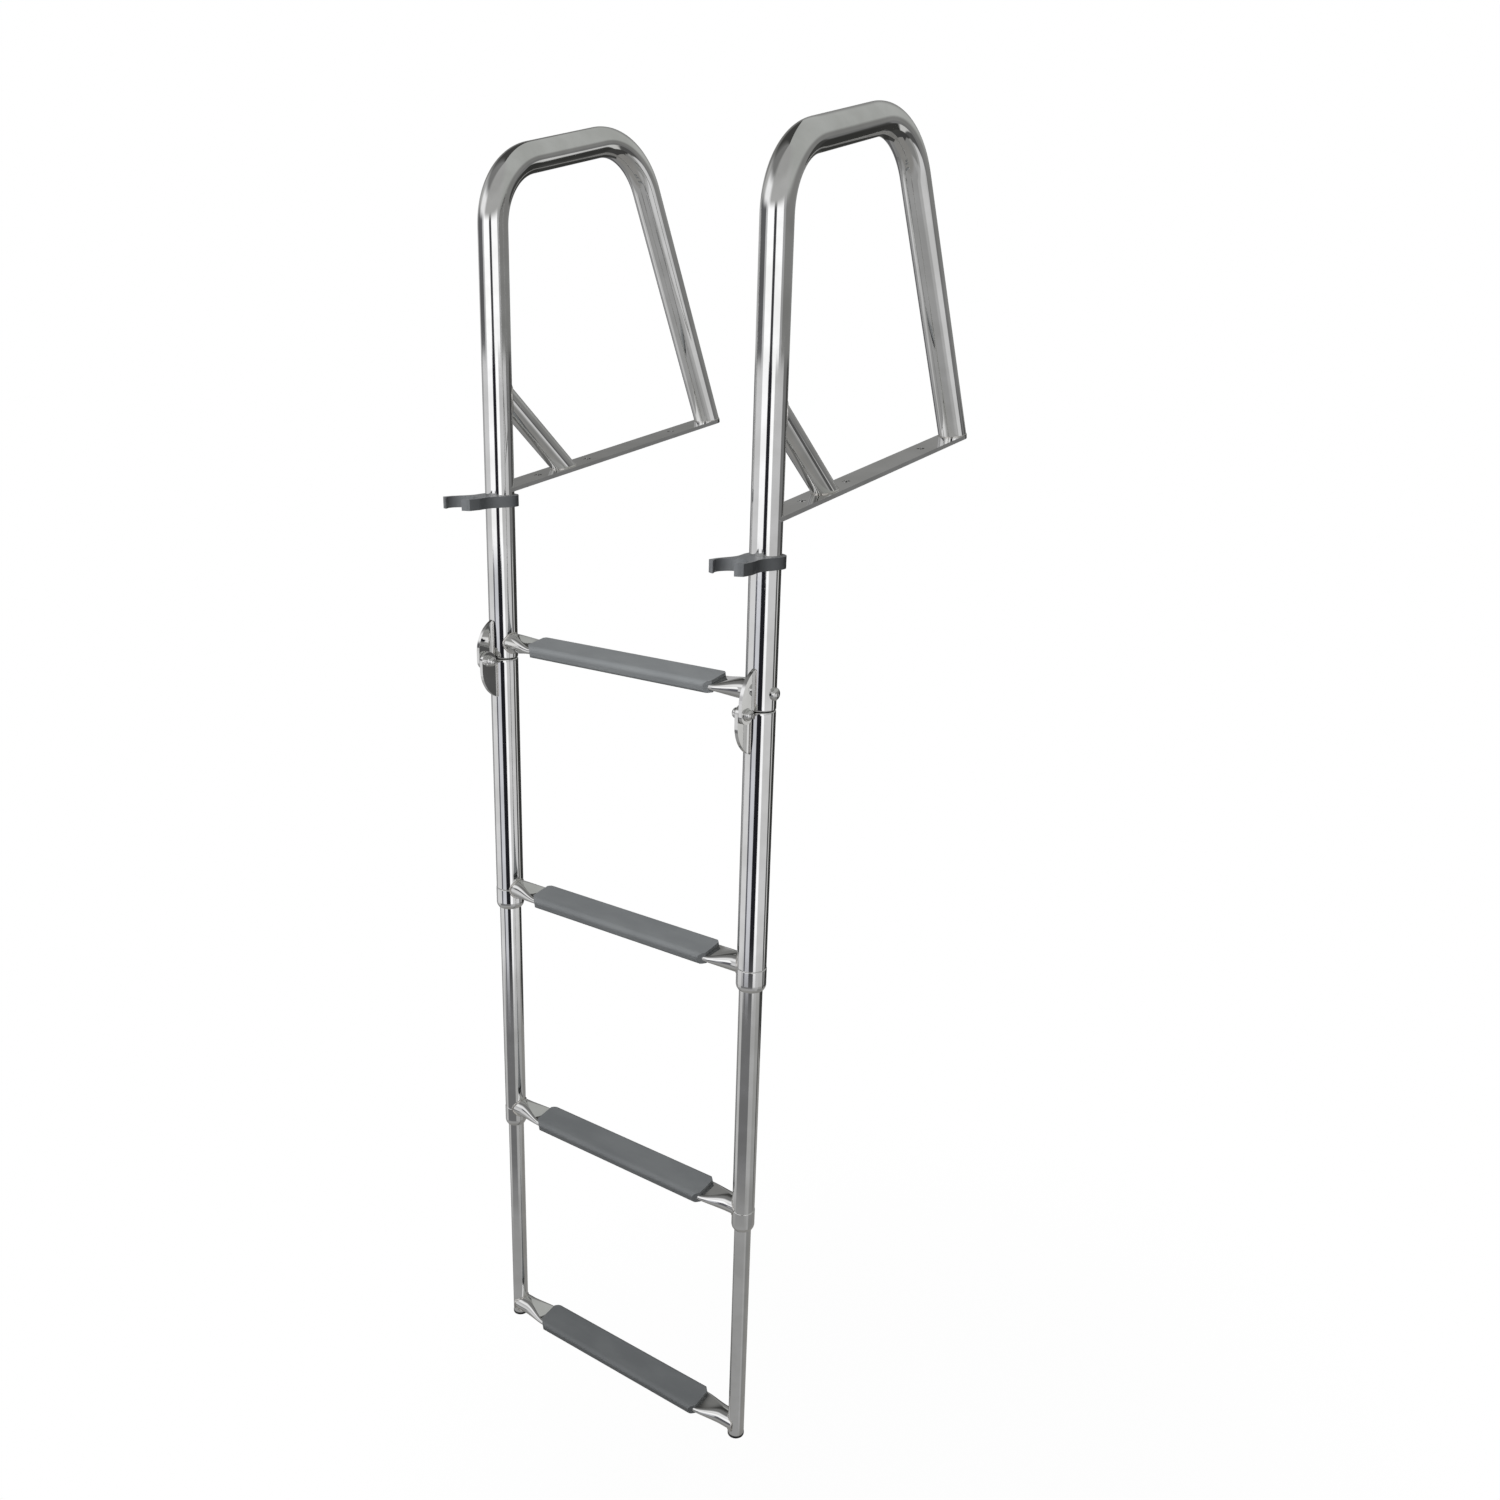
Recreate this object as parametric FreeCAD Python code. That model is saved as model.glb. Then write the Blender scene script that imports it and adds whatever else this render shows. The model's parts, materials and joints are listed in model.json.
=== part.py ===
import FreeCAD, Part
import math
import os

# Telescopic boarding ladder, millimetres, +Z up.
# X runs along the steps, Y points from the water to the dock, and the two mounting strips lie level.
# The origin is the centre of the left strip's front screw hole, on the strip's underside.

# Legs and rails
LEG_SPACING = 357.0
RAIL_DIA = 31.75
MIDDLE_DIA = 25.4
LOWER_DIA = 19.05
TUBE_WALL = 1.5
LEG_LEAN = 10.0
TOP_STEP_DROP = 167.0
STEP_PITCH = 300.0
FOOT_BELOW_STEP = 17.0

# Handrail loop above the strips
LOOP_HEIGHT = 323.0
LOOP_REACH = 384.0
LOOP_RISE = 5.0
REAR_LEAN = 16.0
BEND_RADIUS = 76.0

# Mounting strips
STRIP_WIDTH = 32.0
STRIP_THICKNESS = 4.5
HOLE_DIA = 8.5
FRONT_HOLE = 62.0
MIDDLE_HOLE = 146.0
REAR_HOLE = 306.0

# Braces between upright and strip
BRACE_DIA = 25.4
BRACE_FOOT = 105.0
BRACE_HEIGHT = 92.0

# Steps, a round tube pressed flat under each tread
STEP_DIA = 22.2
STEP_FLAT_HEIGHT = 7.5
STEP_PRESS_LENGTH = 18.0
TREAD_LENGTH = 254.0
TREAD_COVER = 3.8
TREAD_LIP = 5.0
TREAD_CORNER = 7.0
TREAD_CLEARANCE = 0.1

# Fold hinge under the top step
HINGE_BELOW_STEP = 18.0
HINGE_OFFSET = 28.0
LEAF_THICKNESS = 4.0
LEAF_LENGTH = 44.0
LEAF_EYE_RADIUS = 10.0
LEAF_STRAIGHT = 10.0
LEAF_GAP = 0.4
BOLT_DIA = 6.0
BOLT_CLEARANCE = 0.05
BOLT_HEAD_DIA = 13.0
BOLT_HEAD_HEIGHT = 5.5
NUT_HEIGHT = 9.0
BUTTON_DIA = 13.0
BUTTON_HEIGHT = 6.0

# Telescoping joints
COLLAR_LENGTH = 25.0
COLLAR_RIM = 0.4
COLLAR_TAPER = 5.0
COLLAR_SPIGOT = 20.0
GUIDE_LENGTH = 25.0
GUIDE_RIM = 2.0
SLIDE_CLEARANCE = 0.08
STOP_GAP = 0.9

# Storage clips on the uprights
CLIP_HEIGHT = 12.0
CLIP_WALL = 3.2
CLIP_RING_WALL = 4.5
CLIP_REACH = 70.0
CLIP_EDGE = 1.0
CLIP_CLEARANCE = 0.35
LEFT_CLIP_DROP = 9.0
RIGHT_CLIP_DROP = 38.0

# End plugs
PLUG_THICKNESS = 4.0
PLUG_LIP = 0.8
PLUG_STEM = 14.0

# Seats between pieces that are welded or pressed together
WELD_GAP = 0.05

RAIL_RADIUS = RAIL_DIA / 2
MIDDLE_RADIUS = MIDDLE_DIA / 2
LOWER_RADIUS = LOWER_DIA / 2
HINGE_DROP = TOP_STEP_DROP + HINGE_BELOW_STEP
LEAN = math.radians(LEG_LEAN)
SIDES = {"left": -1, "right": 1}
COLLARED_STEPS = (1, 2)

X_AXIS = FreeCAD.Vector(1, 0, 0)
Z_AXIS = FreeCAD.Vector(0, 0, 1)


def vec(x, y, z):
    return FreeCAD.Vector(x, y, z)


def side_x(side):
    """X of a leg's centre plane; the left strip carries the origin."""
    return LEG_SPACING * (1 + side) / 2


def leg_place(side):
    """Frame of one leg: Z runs up the leg, Y to the dock, origin level with the strip's underside."""
    turn = FreeCAD.Rotation(X_AXIS, -LEG_LEAN)
    return FreeCAD.Placement(vec(side_x(side), -FRONT_HOLE, 0), turn)


def leg_point(drop, forward=0.0):
    """Y and Z of a point on the legs, a distance down the leg and a distance out in front of it."""
    y = -FRONT_HOLE - drop * math.sin(LEAN) - forward * math.cos(LEAN)
    z = -drop * math.cos(LEAN) + forward * math.sin(LEAN)
    return y, z


def step_drop(number):
    return TOP_STEP_DROP + number * STEP_PITCH


def rod(radius, low, high, y=0.0):
    """Round bar along the leg, between two drops below the strip."""
    return Part.makeCylinder(radius, high - low, vec(0, y, -high))


def tube(radius, low, high):
    return rod(radius, low, high).cut(rod(radius - TUBE_WALL, low - 1, high + 1))


def polygon(points):
    return Part.makePolygon(points + points[:1])


# Handrail: upright, top rail and rear leg bent from one tube


def rail_line():
    """Centre line of the handrail in its own upright plane, from the hinge up and down to the strip."""
    rise = math.radians(LOOP_RISE)
    fall = math.radians(REAR_LEAN)
    up = vec(0, math.sin(LEAN), math.cos(LEAN))
    along = vec(0, math.cos(rise), math.sin(rise))
    down = vec(0, math.sin(fall), -math.cos(fall))
    bottom = vec(0, *leg_point(HINGE_DROP - STOP_GAP / 2))
    front = vec(0, -FRONT_HOLE + LOOP_HEIGHT * math.tan(LEAN), LOOP_HEIGHT)
    foot = vec(0, -FRONT_HOLE + LOOP_REACH, 0) + down * RAIL_DIA
    # the rear corner is where the top rail meets the line of the rear leg
    reach = foot - front
    cross = along.y * down.z - along.z * down.y
    run = (reach.y * down.z - reach.z * down.y) / cross
    rear = front + along * run
    return bottom, front, rear, foot, up, along, down


def bend(corner, before, after):
    """Arc that rounds a corner of the centre line, with its two ends."""
    turn = before.getAngle(after)
    cut_back = BEND_RADIUS * math.tan(turn / 2)
    start = corner - before * cut_back
    end = corner + after * cut_back
    inward = (after - before).normalize()
    depth = BEND_RADIUS * (1 / math.cos(turn / 2) - 1)
    return start, corner + inward * depth, end


def rail_sweep(radius):
    bottom, front, rear, foot, up, along, down = rail_line()
    a1, a2, a3 = bend(front, up, along)
    b1, b2, b3 = bend(rear, along, down)
    path = Part.Wire(
        [
            Part.LineSegment(bottom, a1).toShape(),
            Part.Arc(a1, a2, a3).toShape(),
            Part.LineSegment(a3, b1).toShape(),
            Part.Arc(b1, b2, b3).toShape(),
            Part.LineSegment(b3, foot).toShape(),
        ]
    )
    ring = Part.Wire(Part.makeCircle(radius, bottom, up))
    return path.makePipeShell([ring], True, False)


def handrail(side):
    solid = rail_sweep(RAIL_RADIUS).cut(rail_sweep(RAIL_RADIUS - TUBE_WALL))
    # the rear leg ends flat on top of the strip
    rear_y = -FRONT_HOLE + LOOP_REACH
    waste = Part.makeBox(
        2 * RAIL_DIA,
        4 * RAIL_DIA,
        2 * RAIL_DIA,
        vec(-RAIL_DIA, rear_y - 2 * RAIL_DIA, STRIP_THICKNESS - 2 * RAIL_DIA),
    )
    solid = solid.cut(waste)
    solid.translate(vec(side_x(side), 0, 0))
    return solid


def upright_bar(side, radius):
    """Round bar on the upright's axis, for cutting seats against it."""
    bar = rod(radius, -LOOP_HEIGHT, HINGE_DROP + LEAF_LENGTH)
    bar.Placement = leg_place(side)
    return bar


# Mounting strip with three screw holes


def strip_holes():
    return [hole - FRONT_HOLE for hole in (FRONT_HOLE, MIDDLE_HOLE, REAR_HOLE)]


def mounting_strip(side):
    half = STRIP_WIDTH / 2
    front_y = -FRONT_HOLE
    end_y = -FRONT_HOLE + LOOP_REACH
    bar = Part.makeBox(STRIP_WIDTH, end_y - front_y, STRIP_THICKNESS, vec(-half, front_y, 0))
    bar = bar.fuse(Part.makeCylinder(half, STRIP_THICKNESS, vec(0, end_y, 0)))
    for hole_y in strip_holes():
        drill = Part.makeCylinder(HOLE_DIA / 2, 3 * STRIP_THICKNESS, vec(0, hole_y, -STRIP_THICKNESS))
        bar = bar.cut(drill)
    bar = bar.removeSplitter()
    bar.translate(vec(side_x(side), 0, 0))
    return bar.cut(upright_bar(side, RAIL_RADIUS + WELD_GAP))


# Slanted brace tube from the strip up to the upright


def brace(side):
    foot = vec(0, -FRONT_HOLE + BRACE_FOOT, STRIP_THICKNESS)
    head = vec(0, -FRONT_HOLE + BRACE_HEIGHT * math.tan(LEAN) + RAIL_RADIUS / math.cos(LEAN), BRACE_HEIGHT)
    along = (head - foot).normalize()
    start = foot - along * BRACE_DIA
    length = (head - foot).Length + BRACE_DIA + RAIL_RADIUS
    outer = Part.makeCylinder(BRACE_DIA / 2, length, start, along)
    inner = Part.makeCylinder(BRACE_DIA / 2 - TUBE_WALL, length, start, along)
    below_at = vec(-BRACE_DIA, -FRONT_HOLE, STRIP_THICKNESS - 2 * BRACE_DIA)
    below = Part.makeBox(2 * BRACE_DIA, 6 * BRACE_DIA, 2 * BRACE_DIA, below_at)
    solid = outer.cut(inner).cut(below)
    solid.translate(vec(side_x(side), 0, 0))
    solid = solid.cut(upright_bar(side, RAIL_RADIUS + WELD_GAP))
    # past the upright nothing of the brace is left
    return max(solid.Solids, key=lambda piece: piece.CenterOfMass.y)


# Steps


def flat_half_width():
    """Half the width of the pressed tube: its outline is as long as the round one's."""
    straight = (math.pi * STEP_DIA - math.pi * STEP_FLAT_HEIGHT) / 2
    return (straight + STEP_FLAT_HEIGHT) / 2


def oval(x, half_width, half_height):
    """Closed outline with round ends and flat top and bottom, across the step."""
    flat = half_width - half_height
    top_front = vec(x, -flat, half_height)
    top_back = vec(x, flat, half_height)
    low_back = vec(x, flat, -half_height)
    low_front = vec(x, -flat, -half_height)
    return Part.Wire(
        [
            Part.LineSegment(top_front, top_back).toShape(),
            Part.Arc(top_back, vec(x, half_width, 0), low_back).toShape(),
            Part.LineSegment(low_back, low_front).toShape(),
            Part.Arc(low_front, vec(x, -half_width, 0), top_front).toShape(),
        ]
    )


def step_skin(inset):
    """Outer form of a step tube, or its bore when inset by the wall."""
    end = LEG_SPACING / 2
    press_end = TREAD_LENGTH / 2
    round_half = STEP_DIA / 2 - inset
    flat_wide = flat_half_width() - inset
    flat_high = STEP_FLAT_HEIGHT / 2 - inset
    # a hair of flat keeps the round sections' outline in the same four pieces
    hair = 0.05
    sections = [
        oval(press_end, flat_wide, flat_high),
        oval(press_end + STEP_PRESS_LENGTH, round_half + hair, round_half),
        oval(end, round_half + hair, round_half),
    ]
    right = Part.makeLoft(sections, True, True)
    left = right.mirror(vec(0, 0, 0), X_AXIS)
    middle = Part.Face(oval(-press_end, flat_wide, flat_high)).extrude(vec(2 * press_end, 0, 0))
    return middle.fuse([right, left])


def step_seat(number, leg_radius):
    """Bar that a step's end is cut to: the leg, and the wider collar on its lower half."""
    drop = step_drop(number)
    reach = RAIL_DIA + STEP_DIA
    seat = rod(leg_radius + WELD_GAP, drop - reach, drop + reach)
    if number in COLLARED_STEPS:
        seat = seat.fuse(rod(leg_radius + COLLAR_RIM + WELD_GAP, drop, drop + reach))
    return seat


def step_tube(number, leg_radius):
    solid = step_skin(0.0).cut(step_skin(TUBE_WALL))
    y, z = leg_point(step_drop(number))
    solid.translate(vec(LEG_SPACING / 2, y, z))
    for side in SIDES.values():
        seat = step_seat(number, leg_radius)
        seat.Placement = leg_place(side)
        solid = solid.cut(seat)
    return max(solid.Solids, key=lambda piece: piece.Volume)


def tread(number):
    """Moulded cover that grips the pressed tube and leaves its underside open."""
    wide = flat_half_width() + TREAD_COVER
    top = STEP_FLAT_HEIGHT / 2 + TREAD_COVER
    low = -STEP_FLAT_HEIGHT / 2 - TREAD_COVER / 2
    half = TREAD_LENGTH / 2
    outer = Part.makeBox(TREAD_LENGTH, 2 * wide, top - low, vec(-half, -wide, low))
    long_edges = [edge for edge in outer.Edges if abs(edge.tangentAt(edge.FirstParameter).x) > 0.9]
    upper = [edge for edge in long_edges if edge.CenterOfMass.z > 0]
    outer = outer.makeFillet(TREAD_COVER + STEP_FLAT_HEIGHT / 4, upper)
    boxes = [(edge, edge.BoundBox) for edge in outer.Edges]
    lower = [edge for edge, box in boxes if box.XLength > TREAD_LENGTH - 0.01 and box.ZMax < low + 0.01]
    outer = outer.makeFillet(TREAD_COVER, lower)
    gripped = Part.Face(
        oval(
            -half - 1,
            flat_half_width() + TREAD_CLEARANCE,
            STEP_FLAT_HEIGHT / 2 + TREAD_CLEARANCE,
        )
    ).extrude(vec(TREAD_LENGTH + 2, 0, 0))
    slot_half = wide - TREAD_COVER - TREAD_LIP
    slot = Part.makeBox(TREAD_LENGTH + 2, 2 * slot_half, top - low, vec(-half - 1, -slot_half, low - top))
    slot.translate(vec(0, 0, STEP_FLAT_HEIGHT / 4))
    solid = outer.cut(gripped).cut(slot)
    # clipped corners, seen from above
    for sign_x in (-1, 1):
        for sign_y in (-1, 1):
            corner = vec(sign_x * half, sign_y * wide, low - 1)
            along = vec(-sign_x * TREAD_CORNER, 0, 0)
            across = vec(0, -sign_y * TREAD_CORNER, 0)
            wedge = Part.Face(polygon([corner, corner + along, corner + across]))
            solid = solid.cut(wedge.extrude(vec(0, 0, top - low + 2)))
    y, z = leg_point(step_drop(number))
    solid.translate(vec(LEG_SPACING / 2, y, z))
    return solid


# Fold hinge


def leaf_face(x):
    """Outline of a hinge leaf above the pivot: an eye, a short straight front and one wide arc."""
    pivot_y = -HINGE_OFFSET
    front = pivot_y - LEAF_EYE_RADIUS
    root = -RAIL_RADIUS / 2
    tip = LEAF_LENGTH
    # the arc leaves the straight front smoothly and ends on the tube, at the leaf's tip
    depth = -RAIL_RADIUS - front
    rise = tip - LEAF_STRAIGHT
    arc_radius = (depth * depth + rise * rise) / (2 * depth)
    half_turn = math.asin(rise / arc_radius) / 2
    crown_y = front + arc_radius * (1 - math.cos(half_turn))
    crown_z = LEAF_STRAIGHT + arc_radius * math.sin(half_turn)
    neck = LEAF_EYE_RADIUS / 2
    edges = [
        Part.LineSegment(vec(x, root, tip), vec(x, -RAIL_RADIUS, tip)),
        Part.Arc(vec(x, -RAIL_RADIUS, tip), vec(x, crown_y, crown_z), vec(x, front, LEAF_STRAIGHT)),
        Part.LineSegment(vec(x, front, LEAF_STRAIGHT), vec(x, front, 0)),
        Part.Arc(vec(x, front, 0), vec(x, pivot_y, -LEAF_EYE_RADIUS), vec(x, pivot_y + LEAF_EYE_RADIUS, 0)),
        Part.LineSegment(vec(x, pivot_y + LEAF_EYE_RADIUS, 0), vec(x, -RAIL_RADIUS, neck)),
        Part.LineSegment(vec(x, -RAIL_RADIUS, neck), vec(x, root, neck)),
        Part.LineSegment(vec(x, root, neck), vec(x, root, tip)),
    ]
    return Part.Face(Part.Wire([edge.toShape() for edge in edges]))


def pivot_hole(length):
    start = vec(-length / 2, -HINGE_OFFSET, 0)
    return Part.makeCylinder(BOLT_DIA / 2 + BOLT_CLEARANCE, length, start, X_AXIS)


def hinge_leaf(side, upper):
    """Upper leaf on the upright's outer side of the joint plane, lower leaf on the inner side."""
    out = side if upper else -side
    low_x = LEAF_GAP / 2 if out > 0 else -LEAF_GAP / 2 - LEAF_THICKNESS
    solid = leaf_face(low_x).extrude(vec(LEAF_THICKNESS, 0, 0))
    if not upper:
        solid = solid.mirror(vec(0, 0, 0), Z_AXIS)
    solid = solid.cut(pivot_hole(4 * LEAF_THICKNESS))
    solid = solid.cut(rod(RAIL_RADIUS + WELD_GAP, -2 * LEAF_LENGTH, 2 * LEAF_LENGTH))
    solid.translate(vec(0, 0, -HINGE_DROP))
    solid.Placement = leg_place(side).multiply(solid.Placement)
    return solid


def domed_head(diameter, height, x, out):
    """Low dome with a short straight rim, standing out along X."""
    radius = diameter / 2
    rim = height / 4
    rise = height - rim
    ball = (radius * radius + rise * rise) / (2 * rise)
    profile = Part.Wire(
        [
            Part.LineSegment(vec(0, 0, 0), vec(0, radius, 0)).toShape(),
            Part.LineSegment(vec(0, radius, 0), vec(rim, radius, 0)).toShape(),
            Part.Arc(
                vec(rim, radius, 0),
                vec(height - ball + math.sqrt(ball * ball - radius * radius / 4), radius / 2, 0),
                vec(height, 0, 0),
            ).toShape(),
            Part.LineSegment(vec(height, 0, 0), vec(0, 0, 0)).toShape(),
        ]
    )
    solid = Part.Face(profile).revolve(vec(0, 0, 0), X_AXIS, 360)
    if out < 0:
        solid = solid.mirror(vec(0, 0, 0), X_AXIS)
    solid.translate(vec(x, 0, 0))
    return solid


def hinge_bolt(side):
    """Bolt with a domed head on the outer side and its shank through both leaves and the nut."""
    face = LEAF_GAP / 2 + LEAF_THICKNESS + WELD_GAP
    shank_end = face + BOLT_HEAD_HEIGHT / 2
    length = face + shank_end
    start = -shank_end if side > 0 else -face
    shank = Part.makeCylinder(BOLT_DIA / 2, length, vec(start, 0, 0), X_AXIS)
    solid = shank.fuse(domed_head(BOLT_HEAD_DIA, BOLT_HEAD_HEIGHT, side * face, side))
    solid.translate(vec(0, -HINGE_OFFSET, -HINGE_DROP))
    solid.Placement = leg_place(side).multiply(solid.Placement)
    return solid


def hinge_nut(side):
    """Domed nut on the inner end of the bolt, longer than the bolt's head."""
    face = LEAF_GAP / 2 + LEAF_THICKNESS + WELD_GAP
    solid = domed_head(BOLT_HEAD_DIA, NUT_HEIGHT, -side * face, -side)
    depth = BOLT_HEAD_HEIGHT / 2 + WELD_GAP
    start = -face - depth if side > 0 else face
    solid = solid.cut(Part.makeCylinder(BOLT_DIA / 2 + WELD_GAP, depth, vec(start, 0, 0), X_AXIS))
    solid.translate(vec(0, -HINGE_OFFSET, -HINGE_DROP))
    solid.Placement = leg_place(side).multiply(solid.Placement)
    return solid


def step_button(side):
    """Domed button on the outer side of the upright, at the top step."""
    solid = domed_head(BUTTON_DIA, BUTTON_HEIGHT, side * (RAIL_RADIUS - TUBE_WALL / 2), side)
    solid.translate(vec(0, 0, -TOP_STEP_DROP))
    solid.Placement = leg_place(side).multiply(solid.Placement)
    return solid.cut(upright_bar(side, RAIL_RADIUS + WELD_GAP))


# Telescoping legs


def collar_end(number):
    return step_drop(number) + COLLAR_LENGTH


def outer_leg(side, number, radius, top):
    """Leg tube from its upper end down to the seam with its collar, level with the step."""
    solid = tube(radius, top, step_drop(number))
    solid.Placement = leg_place(side)
    return solid


def collar(side, number, radius, inner_radius):
    """Steel end collar, a little wider than its tube, tapered at the bottom and guiding the next tube."""
    seam = step_drop(number) + WELD_GAP
    end = collar_end(number)
    body = rod(radius + COLLAR_RIM, seam, end - COLLAR_TAPER)
    body = body.makeFillet(COLLAR_RIM, [edge for edge in body.Edges if edge.BoundBox.ZMin > -seam - 0.01])
    narrow = inner_radius + (radius - inner_radius) / 2
    cone = Part.makeCone(narrow, radius + COLLAR_RIM, COLLAR_TAPER, vec(0, 0, -end))
    spigot = rod(radius - TUBE_WALL - WELD_GAP, step_drop(number) - COLLAR_SPIGOT, seam)
    solid = body.fuse([cone, spigot])
    solid = solid.cut(rod(inner_radius + SLIDE_CLEARANCE, seam - 2 * COLLAR_SPIGOT, end + 1))
    solid.Placement = leg_place(side)
    return solid


def guide_top(number):
    """Drop of the upper end of the sliding tube's guide when that tube is drawn right out."""
    return step_drop(number) - COLLAR_SPIGOT - STOP_GAP - GUIDE_LENGTH


def guide(side, number, tube_radius, bore_radius):
    """Guide bush on the upper end of a sliding tube; it stops against the collar's spigot."""
    top = guide_top(number)
    solid = rod(bore_radius - SLIDE_CLEARANCE, top, top + GUIDE_LENGTH)
    solid = solid.cut(rod(tube_radius + WELD_GAP, top + GUIDE_RIM, top + GUIDE_LENGTH + 1))
    solid = solid.cut(rod(tube_radius - TUBE_WALL, top - 1, top + GUIDE_LENGTH))
    solid.Placement = leg_place(side)
    return solid


def sliding_leg(side, number, radius, end):
    """Tube that slides in the section above, from under its guide's rim to its lower end."""
    solid = tube(radius, guide_top(number) + GUIDE_RIM + WELD_GAP, end)
    solid.Placement = leg_place(side)
    return solid


def end_plug(side):
    """Rubber plug in the leg's lower end, with a rounded rim."""
    foot = step_drop(3) + FOOT_BELOW_STEP
    rim = rod(LOWER_RADIUS + PLUG_LIP, foot - PLUG_THICKNESS, foot)
    low_edge = [edge for edge in rim.Edges if abs(edge.CenterOfMass.z + foot) < 0.01]
    rim = rim.makeFillet(PLUG_THICKNESS / 2, low_edge)
    seat = foot - PLUG_THICKNESS
    stem = rod(LOWER_RADIUS - TUBE_WALL - WELD_GAP, seat - PLUG_STEM, seat)
    solid = rim.fuse(stem)
    solid.Placement = leg_place(side)
    return solid


# Storage clip: a ring on the upright and two prongs for the folded leg


def clip_outline():
    """Outline of the clip from above: a round back, flanks and a prong on both sides of the folded leg."""
    folded = -2 * HINGE_OFFSET
    back = RAIL_RADIUS + WELD_GAP + CLIP_RING_WALL
    grip = RAIL_RADIUS + CLIP_CLEARANCE
    flank = grip + CLIP_WALL
    tip = -CLIP_REACH
    nose = CLIP_WALL / 2
    slant = math.sqrt(0.5)
    bed = folded + grip * slant
    points = {
        "back": vec(0, back, 0),
        "right": vec(back, 0, 0),
        "right_flank": vec(flank, -HINGE_OFFSET, 0),
        "right_tip": vec(flank, tip + nose, 0),
        "right_nose": vec(grip + nose, tip, 0),
        "right_inner": vec(grip, tip + nose, 0),
        "right_bed": vec(grip, folded, 0),
        "bed": vec(0, folded + grip, 0),
    }
    half = [
        Part.Arc(points["back"], vec(back * slant, back * slant, 0), points["right"]),
        Part.LineSegment(points["right"], points["right_flank"]),
        Part.LineSegment(points["right_flank"], points["right_tip"]),
        Part.Arc(points["right_tip"], points["right_nose"], points["right_inner"]),
        Part.LineSegment(points["right_inner"], points["right_bed"]),
        Part.Arc(points["right_bed"], vec(grip * slant, bed, 0), points["bed"]),
    ]
    right = [edge.toShape() for edge in half]
    left = [edge.mirror(vec(0, 0, 0), X_AXIS) for edge in right]
    return Part.Wire(Part.sortEdges(right + left)[0])


def clip(side, drop):
    solid = Part.Face(clip_outline()).extrude(vec(0, 0, CLIP_HEIGHT))
    rims = [edge for edge in solid.Edges if abs(edge.BoundBox.ZLength) < 0.01]
    solid = solid.makeChamfer(CLIP_EDGE, rims)
    solid = solid.cut(Part.makeCylinder(RAIL_RADIUS + WELD_GAP, CLIP_HEIGHT))
    solid.translate(vec(0, 0, -drop - CLIP_HEIGHT / 2))
    solid.Placement = leg_place(side).multiply(solid.Placement)
    return solid


def build():
    nodes = {}
    clip_drops = {"left": LEFT_CLIP_DROP, "right": RIGHT_CLIP_DROP}
    foot = step_drop(3) + FOOT_BELOW_STEP
    for name, side in SIDES.items():
        nodes[name + "_handrail"] = handrail(side)
        nodes[name + "_mounting_strip"] = mounting_strip(side)
        nodes[name + "_brace"] = brace(side)
        nodes[name + "_storage_clip"] = clip(side, clip_drops[name])
        nodes[name + "_upper_hinge_leaf"] = hinge_leaf(side, True)
        nodes[name + "_hinge_bolt"] = hinge_bolt(side)
        nodes[name + "_hinge_nut"] = hinge_nut(side)
        nodes[name + "_step_button"] = step_button(side)
        nodes[name + "_lower_hinge_leaf"] = hinge_leaf(side, False)
        nodes[name + "_upper_leg"] = outer_leg(side, 1, RAIL_RADIUS, HINGE_DROP + STOP_GAP / 2)
        nodes[name + "_upper_collar"] = collar(side, 1, RAIL_RADIUS, MIDDLE_RADIUS)
        nodes[name + "_middle_guide"] = guide(side, 1, MIDDLE_RADIUS, RAIL_RADIUS - TUBE_WALL)
        nodes[name + "_middle_leg"] = sliding_leg(side, 1, MIDDLE_RADIUS, step_drop(2))
        nodes[name + "_middle_collar"] = collar(side, 2, MIDDLE_RADIUS, LOWER_RADIUS)
        nodes[name + "_lower_guide"] = guide(side, 2, LOWER_RADIUS, MIDDLE_RADIUS - TUBE_WALL)
        nodes[name + "_lower_leg"] = sliding_leg(side, 2, LOWER_RADIUS, foot - PLUG_THICKNESS - WELD_GAP)
        nodes[name + "_end_plug"] = end_plug(side)
    leg_radii = [RAIL_RADIUS, RAIL_RADIUS, MIDDLE_RADIUS, LOWER_RADIUS]
    for number, name in enumerate(["top_step", "second_step", "third_step", "bottom_step"]):
        nodes[name] = step_tube(number, leg_radii[number])
        nodes[name + "_tread"] = tread(number)
    return nodes


os.makedirs("parts", exist_ok=True)
for node, shape in build().items():
    shape.exportStep("parts/" + node + ".step")
    print(node, len(shape.Solids), round(shape.Volume), shape.isValid())
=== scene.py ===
import json
import logging
import math
from dataclasses import dataclass
from enum import Enum
from typing import Any, Callable, Dict, List, Sequence, Tuple, Union

import bmesh
import bpy
from mathutils import Matrix, Vector


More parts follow.
